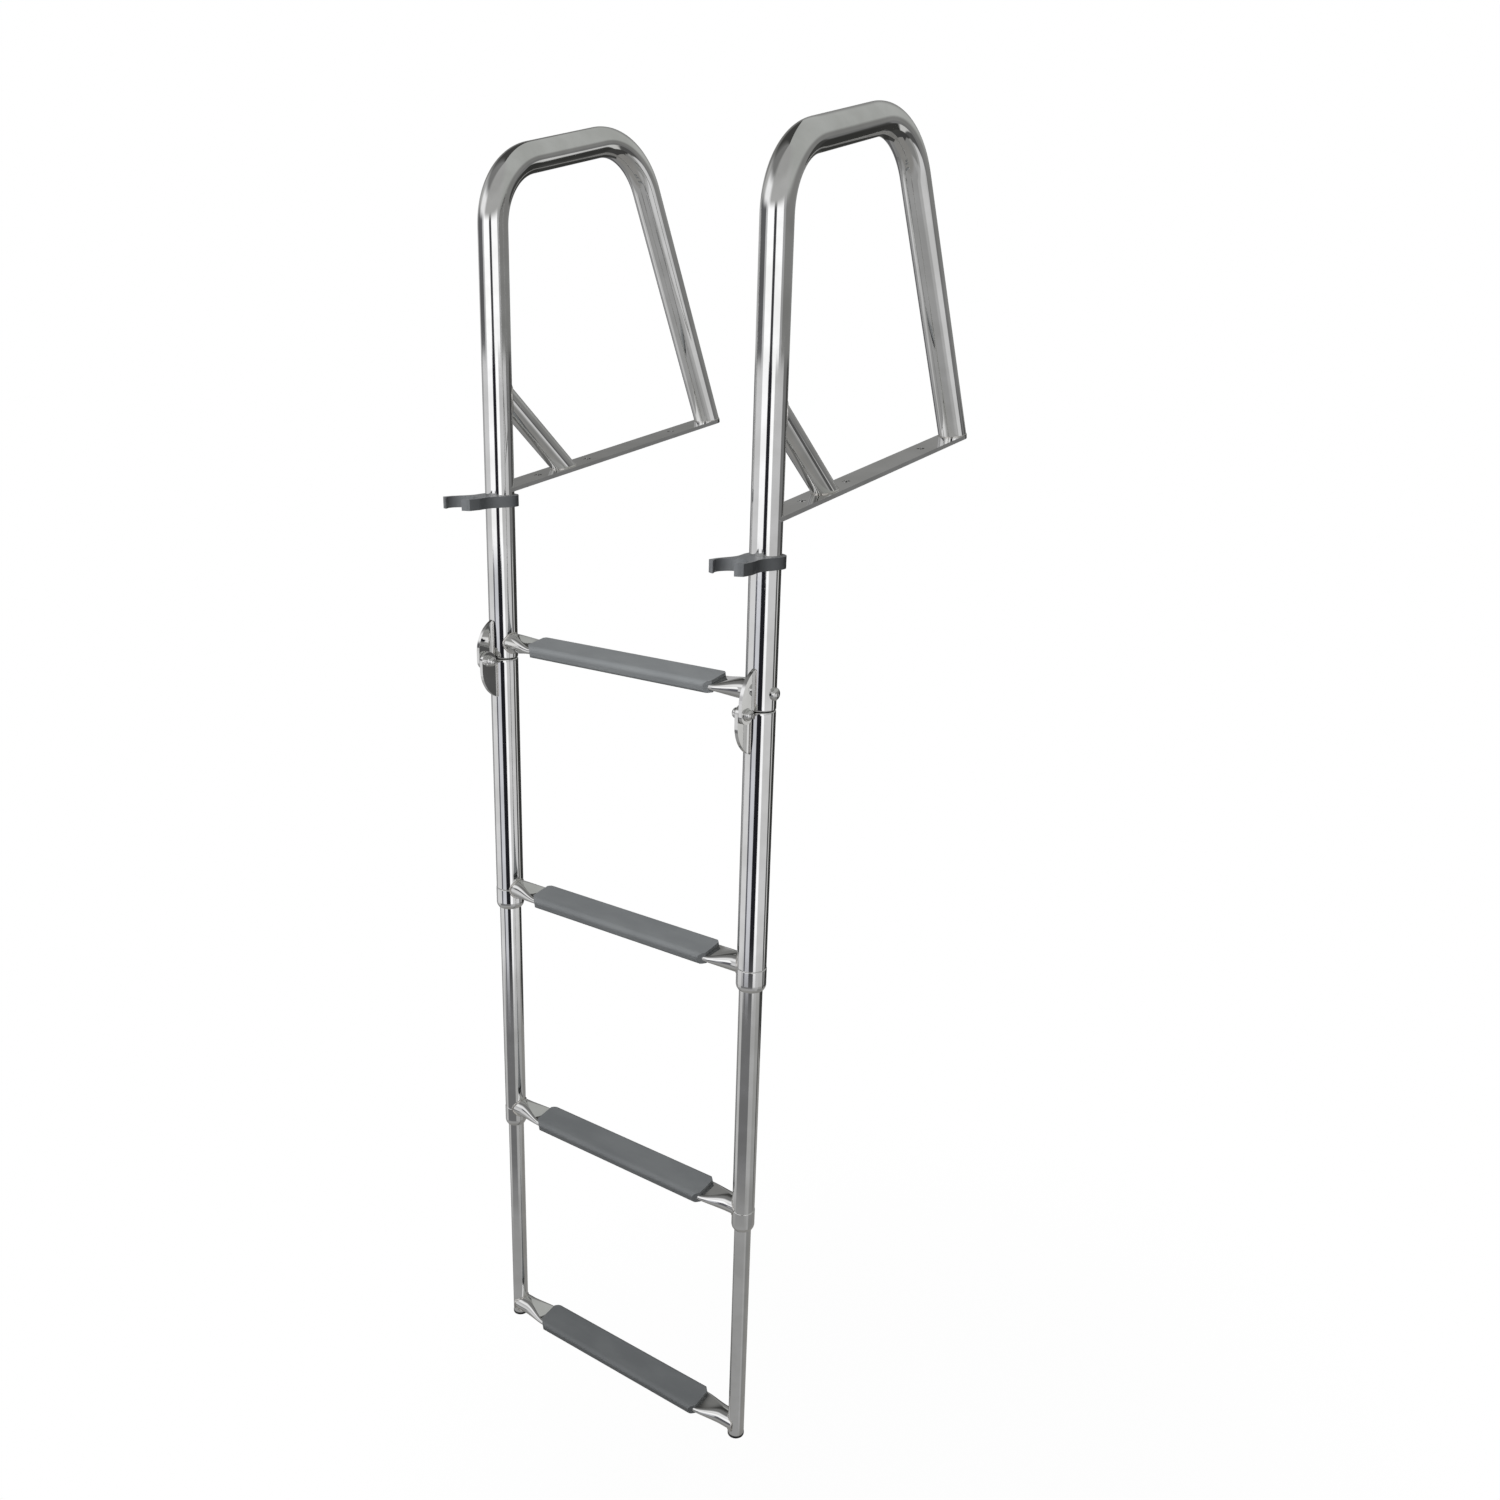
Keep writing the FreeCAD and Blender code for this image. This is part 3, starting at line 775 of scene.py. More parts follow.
class Hand:
    """Modelling moves, made as by hand: one mesh, shaped ring by ring in edit mode."""

    def __init__(self, name: str, radius: float, centre: Vector, turn: Point, corners: int = CORNERS) -> None:
        """Adds a ring and goes into edit mode with all of it selected.

        Args:
            name: Name of the piece.
            radius: Radius of the ring.
            centre: Its centre.
            turn: Its rotation, in radians.
            corners: Number of its corners.
        """
        bpy.ops.object.select_all(action="DESELECT")
        bpy.ops.mesh.primitive_circle_add(vertices=corners, radius=radius, location=centre, rotation=turn)
        self.piece = bpy.context.active_object
        self.piece.name = name
        apply_place()
        self.centre = Vector(centre)
        bpy.ops.object.mode_set(mode="EDIT")
        bpy.ops.mesh.select_mode(type="VERT")
        bpy.ops.mesh.select_all(action="SELECT")

    def run(self, step: Vector) -> "Hand":
        """Extrudes the selected ring in a straight line.

        Args:
            step: How far, and which way.

        Returns:
            This hand, for the next move.
        """
        bpy.ops.mesh.extrude_region_move(TRANSFORM_OT_translate={"value": step})
        self.centre += step
        return self

    def straight(self, step: Vector, margin: float = 0.003) -> "Hand":
        """Extrudes the selected ring in a straight line, with a holding ring near each end.

        Args:
            step: How far, and which way.
            margin: Distance of the holding rings from the ends.

        Returns:
            This hand, for the next move.
        """
        if step.length < 3 * margin:
            return self.run(step)
        short = step.normalized() * margin
        return self.run(short).run(step - 2 * short).run(short)

    def bend(self, pivot: Vector, axis: Point, angle: float, steps: int) -> "Hand":
        """Spins the selected ring round a pivot.

        Args:
            pivot: Centre of the bend.
            axis: Axis of the bend.
            angle: Angle turned, in radians.
            steps: Number of new rings.

        Returns:
            This hand, for the next move.
        """
        # the operator turns against its axis
        bpy.ops.mesh.spin(steps=steps, dupli=False, angle=-angle, center=pivot, axis=axis)
        self.centre = Matrix.Rotation(angle, 3, Vector(axis)) @ (self.centre - pivot) + pivot
        return self

    def widen(self, factor: float) -> "Hand":
        """Scales the selected ring about its centre.

        Args:
            factor: Its new width over its old.

        Returns:
            This hand, for the next move.
        """
        bpy.ops.transform.resize(value=(factor, factor, factor), center_override=self.centre)
        return self

    def done(self) -> Piece:
        """Merges doubles, turns the faces outwards and leaves edit mode.

        Returns:
            The finished piece.
        """
        close(SHARP)
        return self.piece


def wrap(piece: Piece, side: Side, radius: float, heading: Vector, group: str = "") -> None:
    """Presses a piece, or one group of its corners, from inside a leg out against the leg's skin.

    Args:
        piece: The piece.
        side: Which leg.
        radius: The leg's radius there.
        heading: The way that its corners move.
        group: Name of the corners' group; empty for the whole piece.
    """
    bpy.ops.object.select_all(action="DESELECT")
    stand = {"location": leg_point(side.x, TOP_STEP_DROP + STEP_PITCH), "rotation": (-LEAN, 0.0, 0.0)}
    bpy.ops.mesh.primitive_cylinder_add(vertices=FORMER_CORNERS, radius=radius, depth=FORMER_LENGTH, **stand)
    former = bpy.context.active_object
    take(piece)
    # the modifier presses along the piece's own Z axis
    turn = heading.to_track_quat("Z", "Y").to_matrix().to_4x4()
    piece.data.transform(turn.inverted())
    piece.matrix_world = turn
    press = {"wrap_method": "PROJECT", "target": former, "use_project_z": True, "vertex_group": group}
    modify(piece, "SHRINKWRAP", **press, use_positive_direction=True, use_negative_direction=False)
    apply_place()
    bpy.data.objects.remove(former)


@dataclass
class SmoothCopy:
    """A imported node's own form, merged and with its sharp edges rounded."""

    node: str
    body: Body
    slot: str
    round_off: float = 0.0007
    flat_angle: float = 1.0
    edge_angle: float = 30.0

    def make(self, finish: Finish) -> None:
        """Makes the piece in place of its node.

        Args:
            finish: The piece's material.
        """
        source = frame["nodes"][self.node]
        piece = bpy.data.objects.new(self.node + "_rounded", source.data.copy())
        bpy.context.scene.collection.objects.link(piece)
        take(piece)
        bpy.ops.object.mode_set(mode="EDIT")
        bpy.ops.mesh.select_all(action="SELECT")
        bpy.ops.mesh.remove_doubles(threshold=MERGE)
        bpy.ops.mesh.dissolve_limited(angle_limit=math.radians(self.flat_angle))
        bpy.ops.object.mode_set(mode="OBJECT")
        round_edges(piece, self.round_off, self.edge_angle, SHARP)
        firm(piece)
        settle(piece, finish, self.body, self.slot, self.node)


def settle(piece: Piece, finish: Finish, body: Body, slot: str, *nodes: str) -> None:
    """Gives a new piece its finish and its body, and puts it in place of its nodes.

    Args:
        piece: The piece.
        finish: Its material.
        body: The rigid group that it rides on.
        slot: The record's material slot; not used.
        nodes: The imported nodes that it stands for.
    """
    piece.data.materials.clear()
    piece.data.materials.append(finish)
    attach(piece, body.value)
    if nodes:
        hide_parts(*nodes)


@dataclass
class Turning:
    """A round piece, turned on a lathe ring by ring."""

    name: str
    start: Vector
    axis: Vector
    profile: Sequence[Range]
    edge: float = 0.0003
    corners: int = CORNERS
    edge_angle: float = 32.0

    def make(self, finish: Finish, body: Body, slot: str, *nodes: str) -> None:
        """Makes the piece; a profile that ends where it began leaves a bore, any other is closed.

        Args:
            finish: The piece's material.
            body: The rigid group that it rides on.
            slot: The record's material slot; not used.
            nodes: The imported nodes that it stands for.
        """
        turn = self.axis.to_track_quat("Z", "Y").to_euler()
        place, radius = self.profile[0]
        hand = Hand(self.name, radius, self.start + self.axis * place, turn, self.corners)
        if self.profile[0] != self.profile[-1]:
            bpy.ops.mesh.edge_face_add()
        for (here, narrow), (there, wide) in zip(self.profile, self.profile[1:]):
            if wide == narrow:
                hand.straight(self.axis * (there - here))
            else:
                hand.run(self.axis * (there - here)).widen(wide / narrow)
        piece = hand.done()
        round_edges(piece, self.edge, self.edge_angle, SHARP_TURNED)
        settle(piece, finish, body, slot, *nodes)


def dome(base: float, radius: float, height: float, rings: int = 9) -> List[Range]:
    """Profile of a dome on a lathe.

    Args:
        base: Where the dome starts on the axis.
        radius: Its radius there.
        height: How far it stands up.
        rings: Number of rings.

    Returns:
        Pairs of place on the axis and radius, up to a tip that is nearly closed.
    """
    angles = [DOME_REACH * ring / (rings - 1) for ring in range(rings)]
    return [(base + height * math.sin(angle), radius * math.cos(angle)) for angle in angles]


def quarter(steps: int) -> List[float]:
    """Angles of a quarter turn in equal steps.

    Args:
        steps: Number of steps.

    Returns:
        The angles in radians, from 0 to a right angle.
    """
    return [math.radians(90.0 / steps * step) for step in range(steps + 1)]


@dataclass
class Collar:
    """End collar of a leg tube, a little wider than the tube, with a rounded lower end."""

    side: Side
    name: str
    number: int
    body: Body
    radius: float
    inner_radius: float
    groove: float = 0.0008
    taper_middle: float = 0.5
    taper_depth: float = 0.3

    def make(self, finish: Finish) -> None:
        """Makes the piece in place of its node.

        Args:
            finish: The piece's material.
        """
        node = f"{self.side.value}_{self.name}"
        rim = self.radius + COLLAR_RIM
        low = COLLAR_LENGTH - COLLAR_TAPER
        lip = (self.radius + self.inner_radius) / 2
        bore = self.inner_radius + NEAR
        profile = [
            (0.0, rim - self.groove),
            (self.groove, rim),
            (low, rim),
            (low + self.taper_middle * COLLAR_TAPER, rim - self.taper_depth * (rim - lip)),
            (COLLAR_LENGTH, lip),
            (COLLAR_LENGTH, bore),
            (0.0, bore),
            (0.0, rim - self.groove),
        ]
        start = leg_point(self.side.x, TOP_STEP_DROP + self.number * STEP_PITCH)
        Turning(node + "_turned", start, -UP_LEG, profile).make(finish, self.body, STEEL, node)


@dataclass
class EndPlug:
    """Rubber plug in the foot of a leg, barely wider than the tube."""

    side: Side
    foot_below_step: float = 0.017
    thickness: float = 0.004
    lip: float = 0.0003
    crown: float = 0.0012

    def make(self, rubber: Finish) -> None:
        """Makes the piece in place of its node.

        Args:
            rubber: The plug's material.
        """
        foot = TOP_STEP_DROP + 3 * STEP_PITCH + self.foot_below_step
        radius = LOWER_RADIUS + self.lip
        neck = LOWER_RADIUS - TUBE_WALL - NEAR
        profile = [(-2 * self.thickness, neck), (0.0, neck), (0.0, radius)]
        profile += dome(self.thickness - self.crown, radius, self.crown)
        node = self.side.value + "_end_plug"
        start = leg_point(self.side.x, foot - self.thickness)
        Turning(node + "_moulding", start, -UP_LEG, profile).make(rubber, Body.BOTTOM, "plug_rubber", node)


@dataclass
class FoldHinge:
    """The fold hinge of one leg: two leaves with their welds, the bolt, its nut and the button above."""

    side: Side
    washer_radius: float = 0.0065
    washer_height: float = 0.0012
    head_radius: float = 0.0054
    head_height: float = 0.0055
    nut_radius: float = 0.0063
    nut_height: float = 0.0090
    nut_hex_height: float = 0.0038
    nut_flats: int = 6
    cap_radius: float = 0.0056
    button_radius: float = 0.0065
    button_height: float = 0.0052
    dome_foot: float = 0.0010
    leaf_edge: float = 0.0008
    weld_radius: float = 0.0010
    weld_end: Tuple[Range, ...] = ((0.0, 0.3), (0.5, 0.8), (1.5, 1.0))
    weld_short: float = 0.001
    weld_corners: int = 16
    tube_rim: float = 0.0012
    tube_edge: float = 0.0001
    groove: float = 0.0005

    def make(self, steel: Finish, weld: Finish) -> None:
        """Makes all of the hinge.

        Args:
            steel: Polished steel.
            weld: The welds' finish.
        """
        name = self.side.value
        for upper, body in ((True, Body.RAILS), (False, Body.UPPER)):
            node = f"{name}_{'upper' if upper else 'lower'}_hinge_leaf"
            SmoothCopy(node, body, STEEL, self.leaf_edge).make(steel)
            self.leaf_welds(node, upper, body, weld)
        self.fittings(steel)
        self.tube(steel)

    def leaf_welds(self, node: str, upper: bool, body: Body, weld: Finish) -> None:
        """Lays a bead along each face of a leaf, where it stands on the tube.

        Args:
            node: The leaf's node.
            upper: Whether it is the leaf above the pivot.
            body: The rigid group that it rides on.
            weld: The beads' finish.
        """
        level = 1.0 if upper else -1.0
        inner = LEAF_GAP / 2
        outer = inner + LEAF_THICKNESS
        length = LEAF_LENGTH - LEAF_NECK - self.weld_short
        profile = [(place * self.weld_radius, share * self.weld_radius) for place, share in self.weld_end]
        profile += [(length - place, radius) for place, radius in reversed(profile)]
        for number, off in enumerate((inner, outer)):
            x = self.side.x + level * self.side.out * off
            forward = math.sqrt(RAIL_RADIUS**2 - off**2)
            start = leg_point(x, HINGE_DROP - level * LEAF_NECK, forward)
            name = f"{node}_weld_{number}"
            Turning(name, start, UP_LEG * level, profile, corners=self.weld_corners).make(weld, body, STEEL)

    def fittings(self, steel: Finish) -> None:
        """Makes the bolt's head on the outer side, the nut on the inner side and the button above.

        Args:
            steel: Polished steel.
        """
        name = self.side.value
        out = Vector((self.side.out, 0.0, 0.0))
        pivot = leg_point(self.side.x, HINGE_DROP, HINGE_OFFSET)
        face = out * (LEAF_GAP / 2 + LEAF_THICKNESS)
        washer = [(0.0, self.washer_radius), (self.washer_height, self.washer_radius)]
        foot = self.washer_height + self.dome_foot
        head = washer + [(self.washer_height, self.head_radius)]
        head += dome(foot, self.head_radius, self.head_height - foot)
        flats = [(self.washer_height, self.nut_radius), (self.nut_hex_height, self.nut_radius)]
        foot = self.nut_hex_height + self.dome_foot
        cap = [(self.washer_height, self.cap_radius)] + dome(foot, self.cap_radius, self.nut_height - foot)
        skin = leg_point(self.side.x, TOP_STEP_DROP) + out * (RAIL_RADIUS - TUBE_WALL)
        stem = 2 * TUBE_WALL
        button = [(0.0, self.button_radius), (stem, self.button_radius)]
        button += dome(stem, self.button_radius, self.button_height - TUBE_WALL)
        turnings = (
            (Turning(name + "_hinge_bolt_head", pivot + face, out, head), [name + "_hinge_bolt"]),
            (Turning(name + "_hinge_nut_washer", pivot - face, -out, washer), []),
            (Turning(name + "_hinge_nut_flats", pivot - face, -out, flats, corners=self.nut_flats), []),
            (Turning(name + "_hinge_nut_cap", pivot - face, -out, cap), [name + "_hinge_nut"]),
            (Turning(name + "_step_button_dome", skin, out, button), [name + "_step_button"]),
        )
        for turning, nodes in turnings:
            turning.make(steel, Body.RAILS, STEEL, *nodes)

    def tube(self, steel: Finish) -> None:
        """Makes the leg tube under the hinge, with a rounded upper edge.

        Args:
            steel: Polished steel.
        """
        top = HINGE_DROP + STOP_GAP / 2
        length = TOP_STEP_DROP + STEP_PITCH - top
        bore = RAIL_RADIUS - TUBE_WALL
        rim = self.tube_rim
        profile = []
        for angle in quarter(4):
            profile.append((rim * (1 - math.cos(angle)), RAIL_RADIUS - rim * (1 - math.sin(angle))))
        profile += [(length - self.groove, RAIL_RADIUS), (length, RAIL_RADIUS - self.groove)]
        profile += [(length, bore), (0.0, bore), (0.0, RAIL_RADIUS - rim)]
        node = self.side.value + "_upper_leg"
        turning = Turning(node + "_tube", leg_point(self.side.x, top), -UP_LEG, profile, self.tube_edge)
        turning.make(steel, Body.UPPER, STEEL, node)


@dataclass
class StorageClip:
    """Plastic clip: a ring on the upright and two jaws that snap round the folded leg."""

    ring_wall: float = 0.0045
    height: float = 0.012
    reach: float = 0.070
    ring_fit: float = 0.00005
    fit: float = 0.00035
    mouth: float = 0.0246
    waist: float = 0.74
    waist_cuts: int = 12
    front_flatness: float = 0.36
    round_off: float = 0.0009
    edge_angle: float = 38.0
    tip_round: float = 0.0013
    tip_segments: int = 4
    front_from: float = 0.1
    corners: int = 96
    bore_corners: int = 128

    def make(self, finish: Finish, drops: Dict[Side, float]) -> None:
        """Models one clip and sets a copy of it on each upright.

        Args:
            finish: The clip's material.
            drops: How far down each upright its clip sits.
        """
        first = self.model()
        for side, drop in drops.items():
            piece = first.copy()
            piece.data = first.data.copy()
            piece.name = side.value + "_storage_clip_moulding"
            bpy.context.scene.collection.objects.link(piece)
            piece.matrix_world = Matrix.Translation(leg_point(side.x, drop)) @ Matrix.Rotation(-LEAN, 4, "X")
            take(piece)
            apply_place()
            settle(piece, finish, Body.RAILS, "clip_plastic", side.value + "_storage_clip")
        bpy.data.objects.remove(first)

    def model(self) -> Piece:
        """Models the clip with its ring round the origin and its jaws towards -Y.

        Returns:
            The clip.
        """
        back = RAIL_RADIUS + self.ring_wall
        bpy.ops.object.select_all(action="DESELECT")
        bpy.ops.mesh.primitive_cylinder_add(vertices=self.corners, radius=back, depth=self.height)
        clip = bpy.context.active_object
        bpy.ops.object.mode_set(mode="EDIT")
        bpy.ops.mesh.select_mode(type="VERT")
        pick(clip, lambda place: place.y < -self.front_from * back)
        bpy.ops.transform.translate(value=(0.0, back - self.reach, 0.0))
        front = (0.0, -self.reach, 0.0)
        bpy.ops.transform.resize(value=(1.0, self.front_flatness, 1.0), center_override=front)
        folded = -2 * HINGE_OFFSET
        shares = [cut / self.waist_cuts for cut in range(1, self.waist_cuts)]
        for share in shares:
            bpy.ops.mesh.select_all(action="SELECT")
            bpy.ops.mesh.bisect(plane_co=(0.0, share * folded, 0.0), plane_no=(0.0, 1.0, 0.0))
        for share in shares:
            pick(clip, lambda place: abs(place.y - share * folded) < NEAR)
            narrow = 1.0 - (1.0 - self.waist) * math.sin(math.pi * share) ** 2
            bpy.ops.transform.resize(value=(narrow, 1.0, 1.0), center_override=(0.0, 0.0, 0.0))
        bpy.ops.object.mode_set(mode="OBJECT")
        self.cut(clip, self.drill(RAIL_RADIUS + self.ring_fit, 0.0))
        self.cut(clip, self.drill(RAIL_RADIUS + self.fit, folded))
        bpy.ops.object.select_all(action="DESELECT")
        bpy.ops.mesh.primitive_cube_add(size=1.0, location=(0.0, folded - RAIL_RADIUS, 0.0))
        bpy.ops.transform.resize(value=(self.mouth, 2 * RAIL_RADIUS, 3 * self.height))
        self.cut(clip, bpy.context.active_object)
        self.round_tips(clip)
        take(clip)
        round_edges(clip, self.round_off, self.edge_angle, SHARP)
        firm(clip)
        return clip

    def round_tips(self, clip: Piece) -> None:
        """Rounds the upright edges of the two jaw tips.

        Args:
            clip: The clip.
        """
        take(clip)
        bpy.ops.object.mode_set(mode="EDIT")
        bpy.ops.mesh.select_mode(type="EDGE")
        bpy.ops.mesh.select_all(action="DESELECT")
        mesh = bmesh.from_edit_mesh(clip.data)
        for edge in mesh.edges:
            one, other = (corner.co for corner in edge.verts)
            upright = (one - other).xy.length < NEAR and abs(one.z - other.z) > self.height / 2
            at_mouth = one.y < -2 * HINGE_OFFSET and abs(abs(one.x) - self.mouth / 2) < 2 * NEAR
            edge.select_set(upright and at_mouth)
        bmesh.update_edit_mesh(clip.data)
        bpy.ops.mesh.bevel(offset=self.tip_round, segments=self.tip_segments, affect="EDGES")
        bpy.ops.object.mode_set(mode="OBJECT")

    def drill(self, radius: float, y: float) -> Piece:
        """A round bar to cut a bore with.

        Args:
            radius: Radius of the bore.
            y: Where it goes through.

        Returns:
            The bar.
        """
        bpy.ops.object.select_all(action="DESELECT")
        size = {"radius": radius, "depth": 3 * self.height}
        bpy.ops.mesh.primitive_cylinder_add(vertices=self.bore_corners, location=(0.0, y, 0.0), **size)
        return bpy.context.active_object

    def cut(self, clip: Piece, cutter: Piece) -> None:
        """Cuts a form out of the clip and removes the cutter.

        Args:
            clip: The clip.
            cutter: The form to cut out.
        """
        take(clip)
        modify(clip, "BOOLEAN", operation="DIFFERENCE", solver="EXACT", object=cutter)
        bpy.data.objects.remove(cutter)


@dataclass
class Handrail:
    """Upright, top rail and rear leg, bent from one tube."""

    side: Side
    loop_height: float = 0.323
    loop_rise: float = math.radians(5.0)
    bend_radius: float = 0.076
    bore_depth: float = 0.030
    edge: float = 0.0012
    bend_rings: int = 28

    def make(self, finish: Finish) -> None:
        """Makes the piece in place of its node.

        Args:
            finish: The piece's material.
        """
        x = self.side.x
        along = Vector((0.0, math.cos(self.loop_rise), math.sin(self.loop_rise)))
        down = Vector((0.0, math.sin(REAR_LEAN), -math.cos(REAR_LEAN)))
        bottom = leg_point(x, HINGE_DROP - STOP_GAP / 2)
        front = Vector((x, -FRONT_HOLE + self.loop_height * math.tan(LEAN), self.loop_height))
        foot = Vector((x, -FRONT_HOLE + STRIP_LENGTH, 0.0)) + down * 2 * RAIL_RADIUS
        reach = foot - front
        cross = along.y * down.z - along.z * down.y
        rear = front + along * ((reach.y * down.z - reach.z * down.y) / cross)
        hand = Hand(self.side.value + "_handrail_tube", RAIL_RADIUS, bottom, (-LEAN, 0.0, 0.0))
        self.corner(hand, front, UP_LEG, along)
        self.corner(hand, rear, along, down)
        hand.straight(foot - hand.centre)
        self.seat(hand)
        self.bore(hand, bottom)
        piece = hand.done()
        settle(piece, finish, Body.RAILS, STEEL, self.side.value + "_handrail")

    def corner(self, hand: Hand, corner: Vector, before: Vector, after: Vector) -> None:
        """Runs the tube up to a corner and bends it round.

        Args:
            hand: The hand that models the tube.
            corner: Where the centre line's two runs meet.
            before: Direction of the run up to it.
            after: Direction of the run away from it.
        """
        angle = before.angle(after)
        start = corner - before * self.bend_radius * math.tan(angle / 2)
        hand.straight(start - hand.centre)
        inward = before.cross(Vector((1.0, 0.0, 0.0)))
        if inward.dot(after) < 0:
            inward = -inward
        hand.bend(start + inward * self.bend_radius, (-1.0, 0.0, 0.0), angle, self.bend_rings)

    def seat(self, hand: Hand) -> None:
        """Cuts the rear leg off flat on its strip.

        Args:
            hand: The hand that models the tube.
        """
        rear = -FRONT_HOLE + STRIP_LENGTH / 2
        pick(hand.piece, lambda place: place.y > rear)
        strip = {"plane_co": (0.0, 0.0, STRIP_THICKNESS), "plane_no": (0.0, 0.0, 1.0)}
        bpy.ops.mesh.bisect(**strip, clear_inner=True, use_fill=True)

    def bore(self, hand: Hand, bottom: Vector) -> None:
        """Turns the lower end inwards, so that the folded ladder shows a real wall there.

        Args:
            hand: The hand that models the tube.
            bottom: Centre of that end.
        """
        pick(hand.piece, lambda place: (place - bottom).dot(UP_LEG) < NEAR)
        bpy.ops.transform.translate(value=UP_LEG * self.edge)
        hand.centre = bottom + UP_LEG * self.edge
        angles = quarter(3)
        for before, angle in zip(angles, angles[1:]):
            past = bottom + UP_LEG * self.edge * (1 - math.sin(angle))
            narrow = RAIL_RADIUS - self.edge * (1 - math.cos(angle))
            wide = RAIL_RADIUS - self.edge * (1 - math.cos(before))
            hand.run(past - hand.centre).widen(narrow / wide)
        hand.run(Vector((0.0, 0.0, 0.0))).widen((RAIL_RADIUS - TUBE_WALL) / (RAIL_RADIUS - self.edge))
        hand.run(UP_LEG * self.bore_depth)
        bpy.ops.mesh.edge_face_add()


@dataclass
class StepTube:
    """Round tube welded between the legs and pressed flat under its tread."""

    node: str
    number: int
    body: Body
    leg_radius: float
    radius: float = 0.0111
    flat_half: float = 0.00375
    press_end: float = 0.127
    press_length: float = 0.032
    press_ease: float = 0.5
    stages: int = 16
    weld_room: float = 0.001

    def make(self, finish: Finish) -> None:
        """Makes the piece in place of its node.

        Args:
            finish: The piece's material.
        """
        start = leg_point(0.0, TOP_STEP_DROP + self.number * STEP_PITCH)
        clear = Vector((self.leg_radius + self.weld_room, 0.0, 0.0))
        round_end = Vector((LEG_SPACING / 2 - self.press_end - self.press_length, 0.0, 0.0)) - clear
        hand = Hand(self.node + "_tube", self.radius, start, (0.0, math.pi / 2, 0.0))
        hand.run(clear).run(round_end)
        self.press(hand, 1.0, 0.0)
        hand.run(Vector((2 * self.press_end, 0.0, 0.0)))
        self.press(hand, 0.0, 1.0)
        hand.run(round_end).run(clear)
        piece = hand.done()
        for side in Side:
            ends = piece.vertex_groups.new(name=side.value)
            ends.add([v.index for v in piece.data.vertices if abs(v.co.x - side.x) < NEAR], 1.0, "ADD")
            wrap(piece, side, self.leg_radius, Vector((-side.out, 0.0, 0.0)), side.value)
        settle(piece, finish, self.body, STEEL, self.node)

    def press(self, hand: Hand, first: float, last: float) -> None:
        """Extrudes the ring in short stages between the round and the pressed outline.

        Args:
            hand: The hand that models the tube.
            first: 1 where the tube is round at the start, 0 where it is flat.
            last: The same at the end.
        """
        high = self.high_at(first)
        spread = self.spread_at(first)
        for stage in range(1, self.stages + 1):
            share = stage / self.stages
            eased = (1 - self.press_ease) * share + self.press_ease * share * share * (3 - 2 * share)
            roundness = first + (last - first) * eased
            hand.run(Vector((self.press_length / self.stages, 0.0, 0.0)))
            new_high = self.high_at(roundness)
            new_spread = self.spread_at(roundness)
            self.reshape(hand, spread, high, new_spread, new_high)
            high, spread = new_high, new_spread

    def high_at(self, roundness: float) -> float:
        """Half the height of the outline.

        Args:
            roundness: 1 for round, 0 for pressed.

        Returns:
            Half the height, which is also the radius of the outline's two ends.
        """
        return self.flat_half + (self.radius - self.flat_half) * roundness

    def spread_at(self, roundness: float) -> float:
        """Half the length of the outline's flat top.

        Args:
            roundness: 1 for round, 0 for pressed.

        Returns:
            How far each round end is moved out from the middle.
        """
        return math.pi * (self.radius - self.high_at(roundness)) / 2

    def reshape(self, hand: Hand, spread: float, high: float, new_spread: float, new_high: float) -> None:
        """Closes the two halves of a ring up, scales it, and moves them apart again.

        Args:
            hand: The hand that models the tube.
            spread: How far apart the halves are now, from the middle.
            high: Half the height now.
            new_spread: How far apart they will be.
            new_high: Half the height it will have.
        """
        factor = new_high / high
        mesh = bmesh.from_edit_mesh(hand.piece.data)
        for corner in [vert for vert in mesh.verts if vert.select]:
            across = corner.co.y - hand.centre.y
            if abs(across) > MERGE:
                half = math.copysign(1.0, across)
                corner.co.y = hand.centre.y + (across - half * spread) * factor + half * new_spread
            corner.co.z = hand.centre.z + (corner.co.z - hand.centre.z) * factor
        bmesh.update_edit_mesh(hand.piece.data)


@dataclass
class Bead:
    """A weld bead that runs round a tube where it meets something."""

    name: str
    body: Body
    thickness: float = 0.0011
    corners: int = 72
    resolution: int = 3

    def lay(self, radius: float, centre: Vector, turn: Point) -> Piece:
        """Lays the bead as a ring; it may then be pressed against a leg.

        Args:
            radius: Radius of the ring.
            centre: Its centre.
            turn: Its rotation, in radians.

        Returns:
            The ring, still a thin line.
        """
        hand = Hand(self.name, radius, centre, turn, self.corners)
        bpy.ops.object.mode_set(mode="OBJECT")
        return hand.piece

    def fill(self, ring: Piece, finish: Finish) -> None:
        """Turns the line into a round bead of metal.

        Args:
            ring: The line.
            finish: The bead's material.
        """
        take(ring)
        bpy.ops.object.convert(target="CURVE")
        ring.data.bevel_depth = self.thickness
        ring.data.bevel_resolution = self.resolution
        bpy.ops.object.convert(target="MESH")
        bpy.ops.object.mode_set(mode="EDIT")
        close(SHARP_BEAD)
        settle(ring, finish, self.body, STEEL)


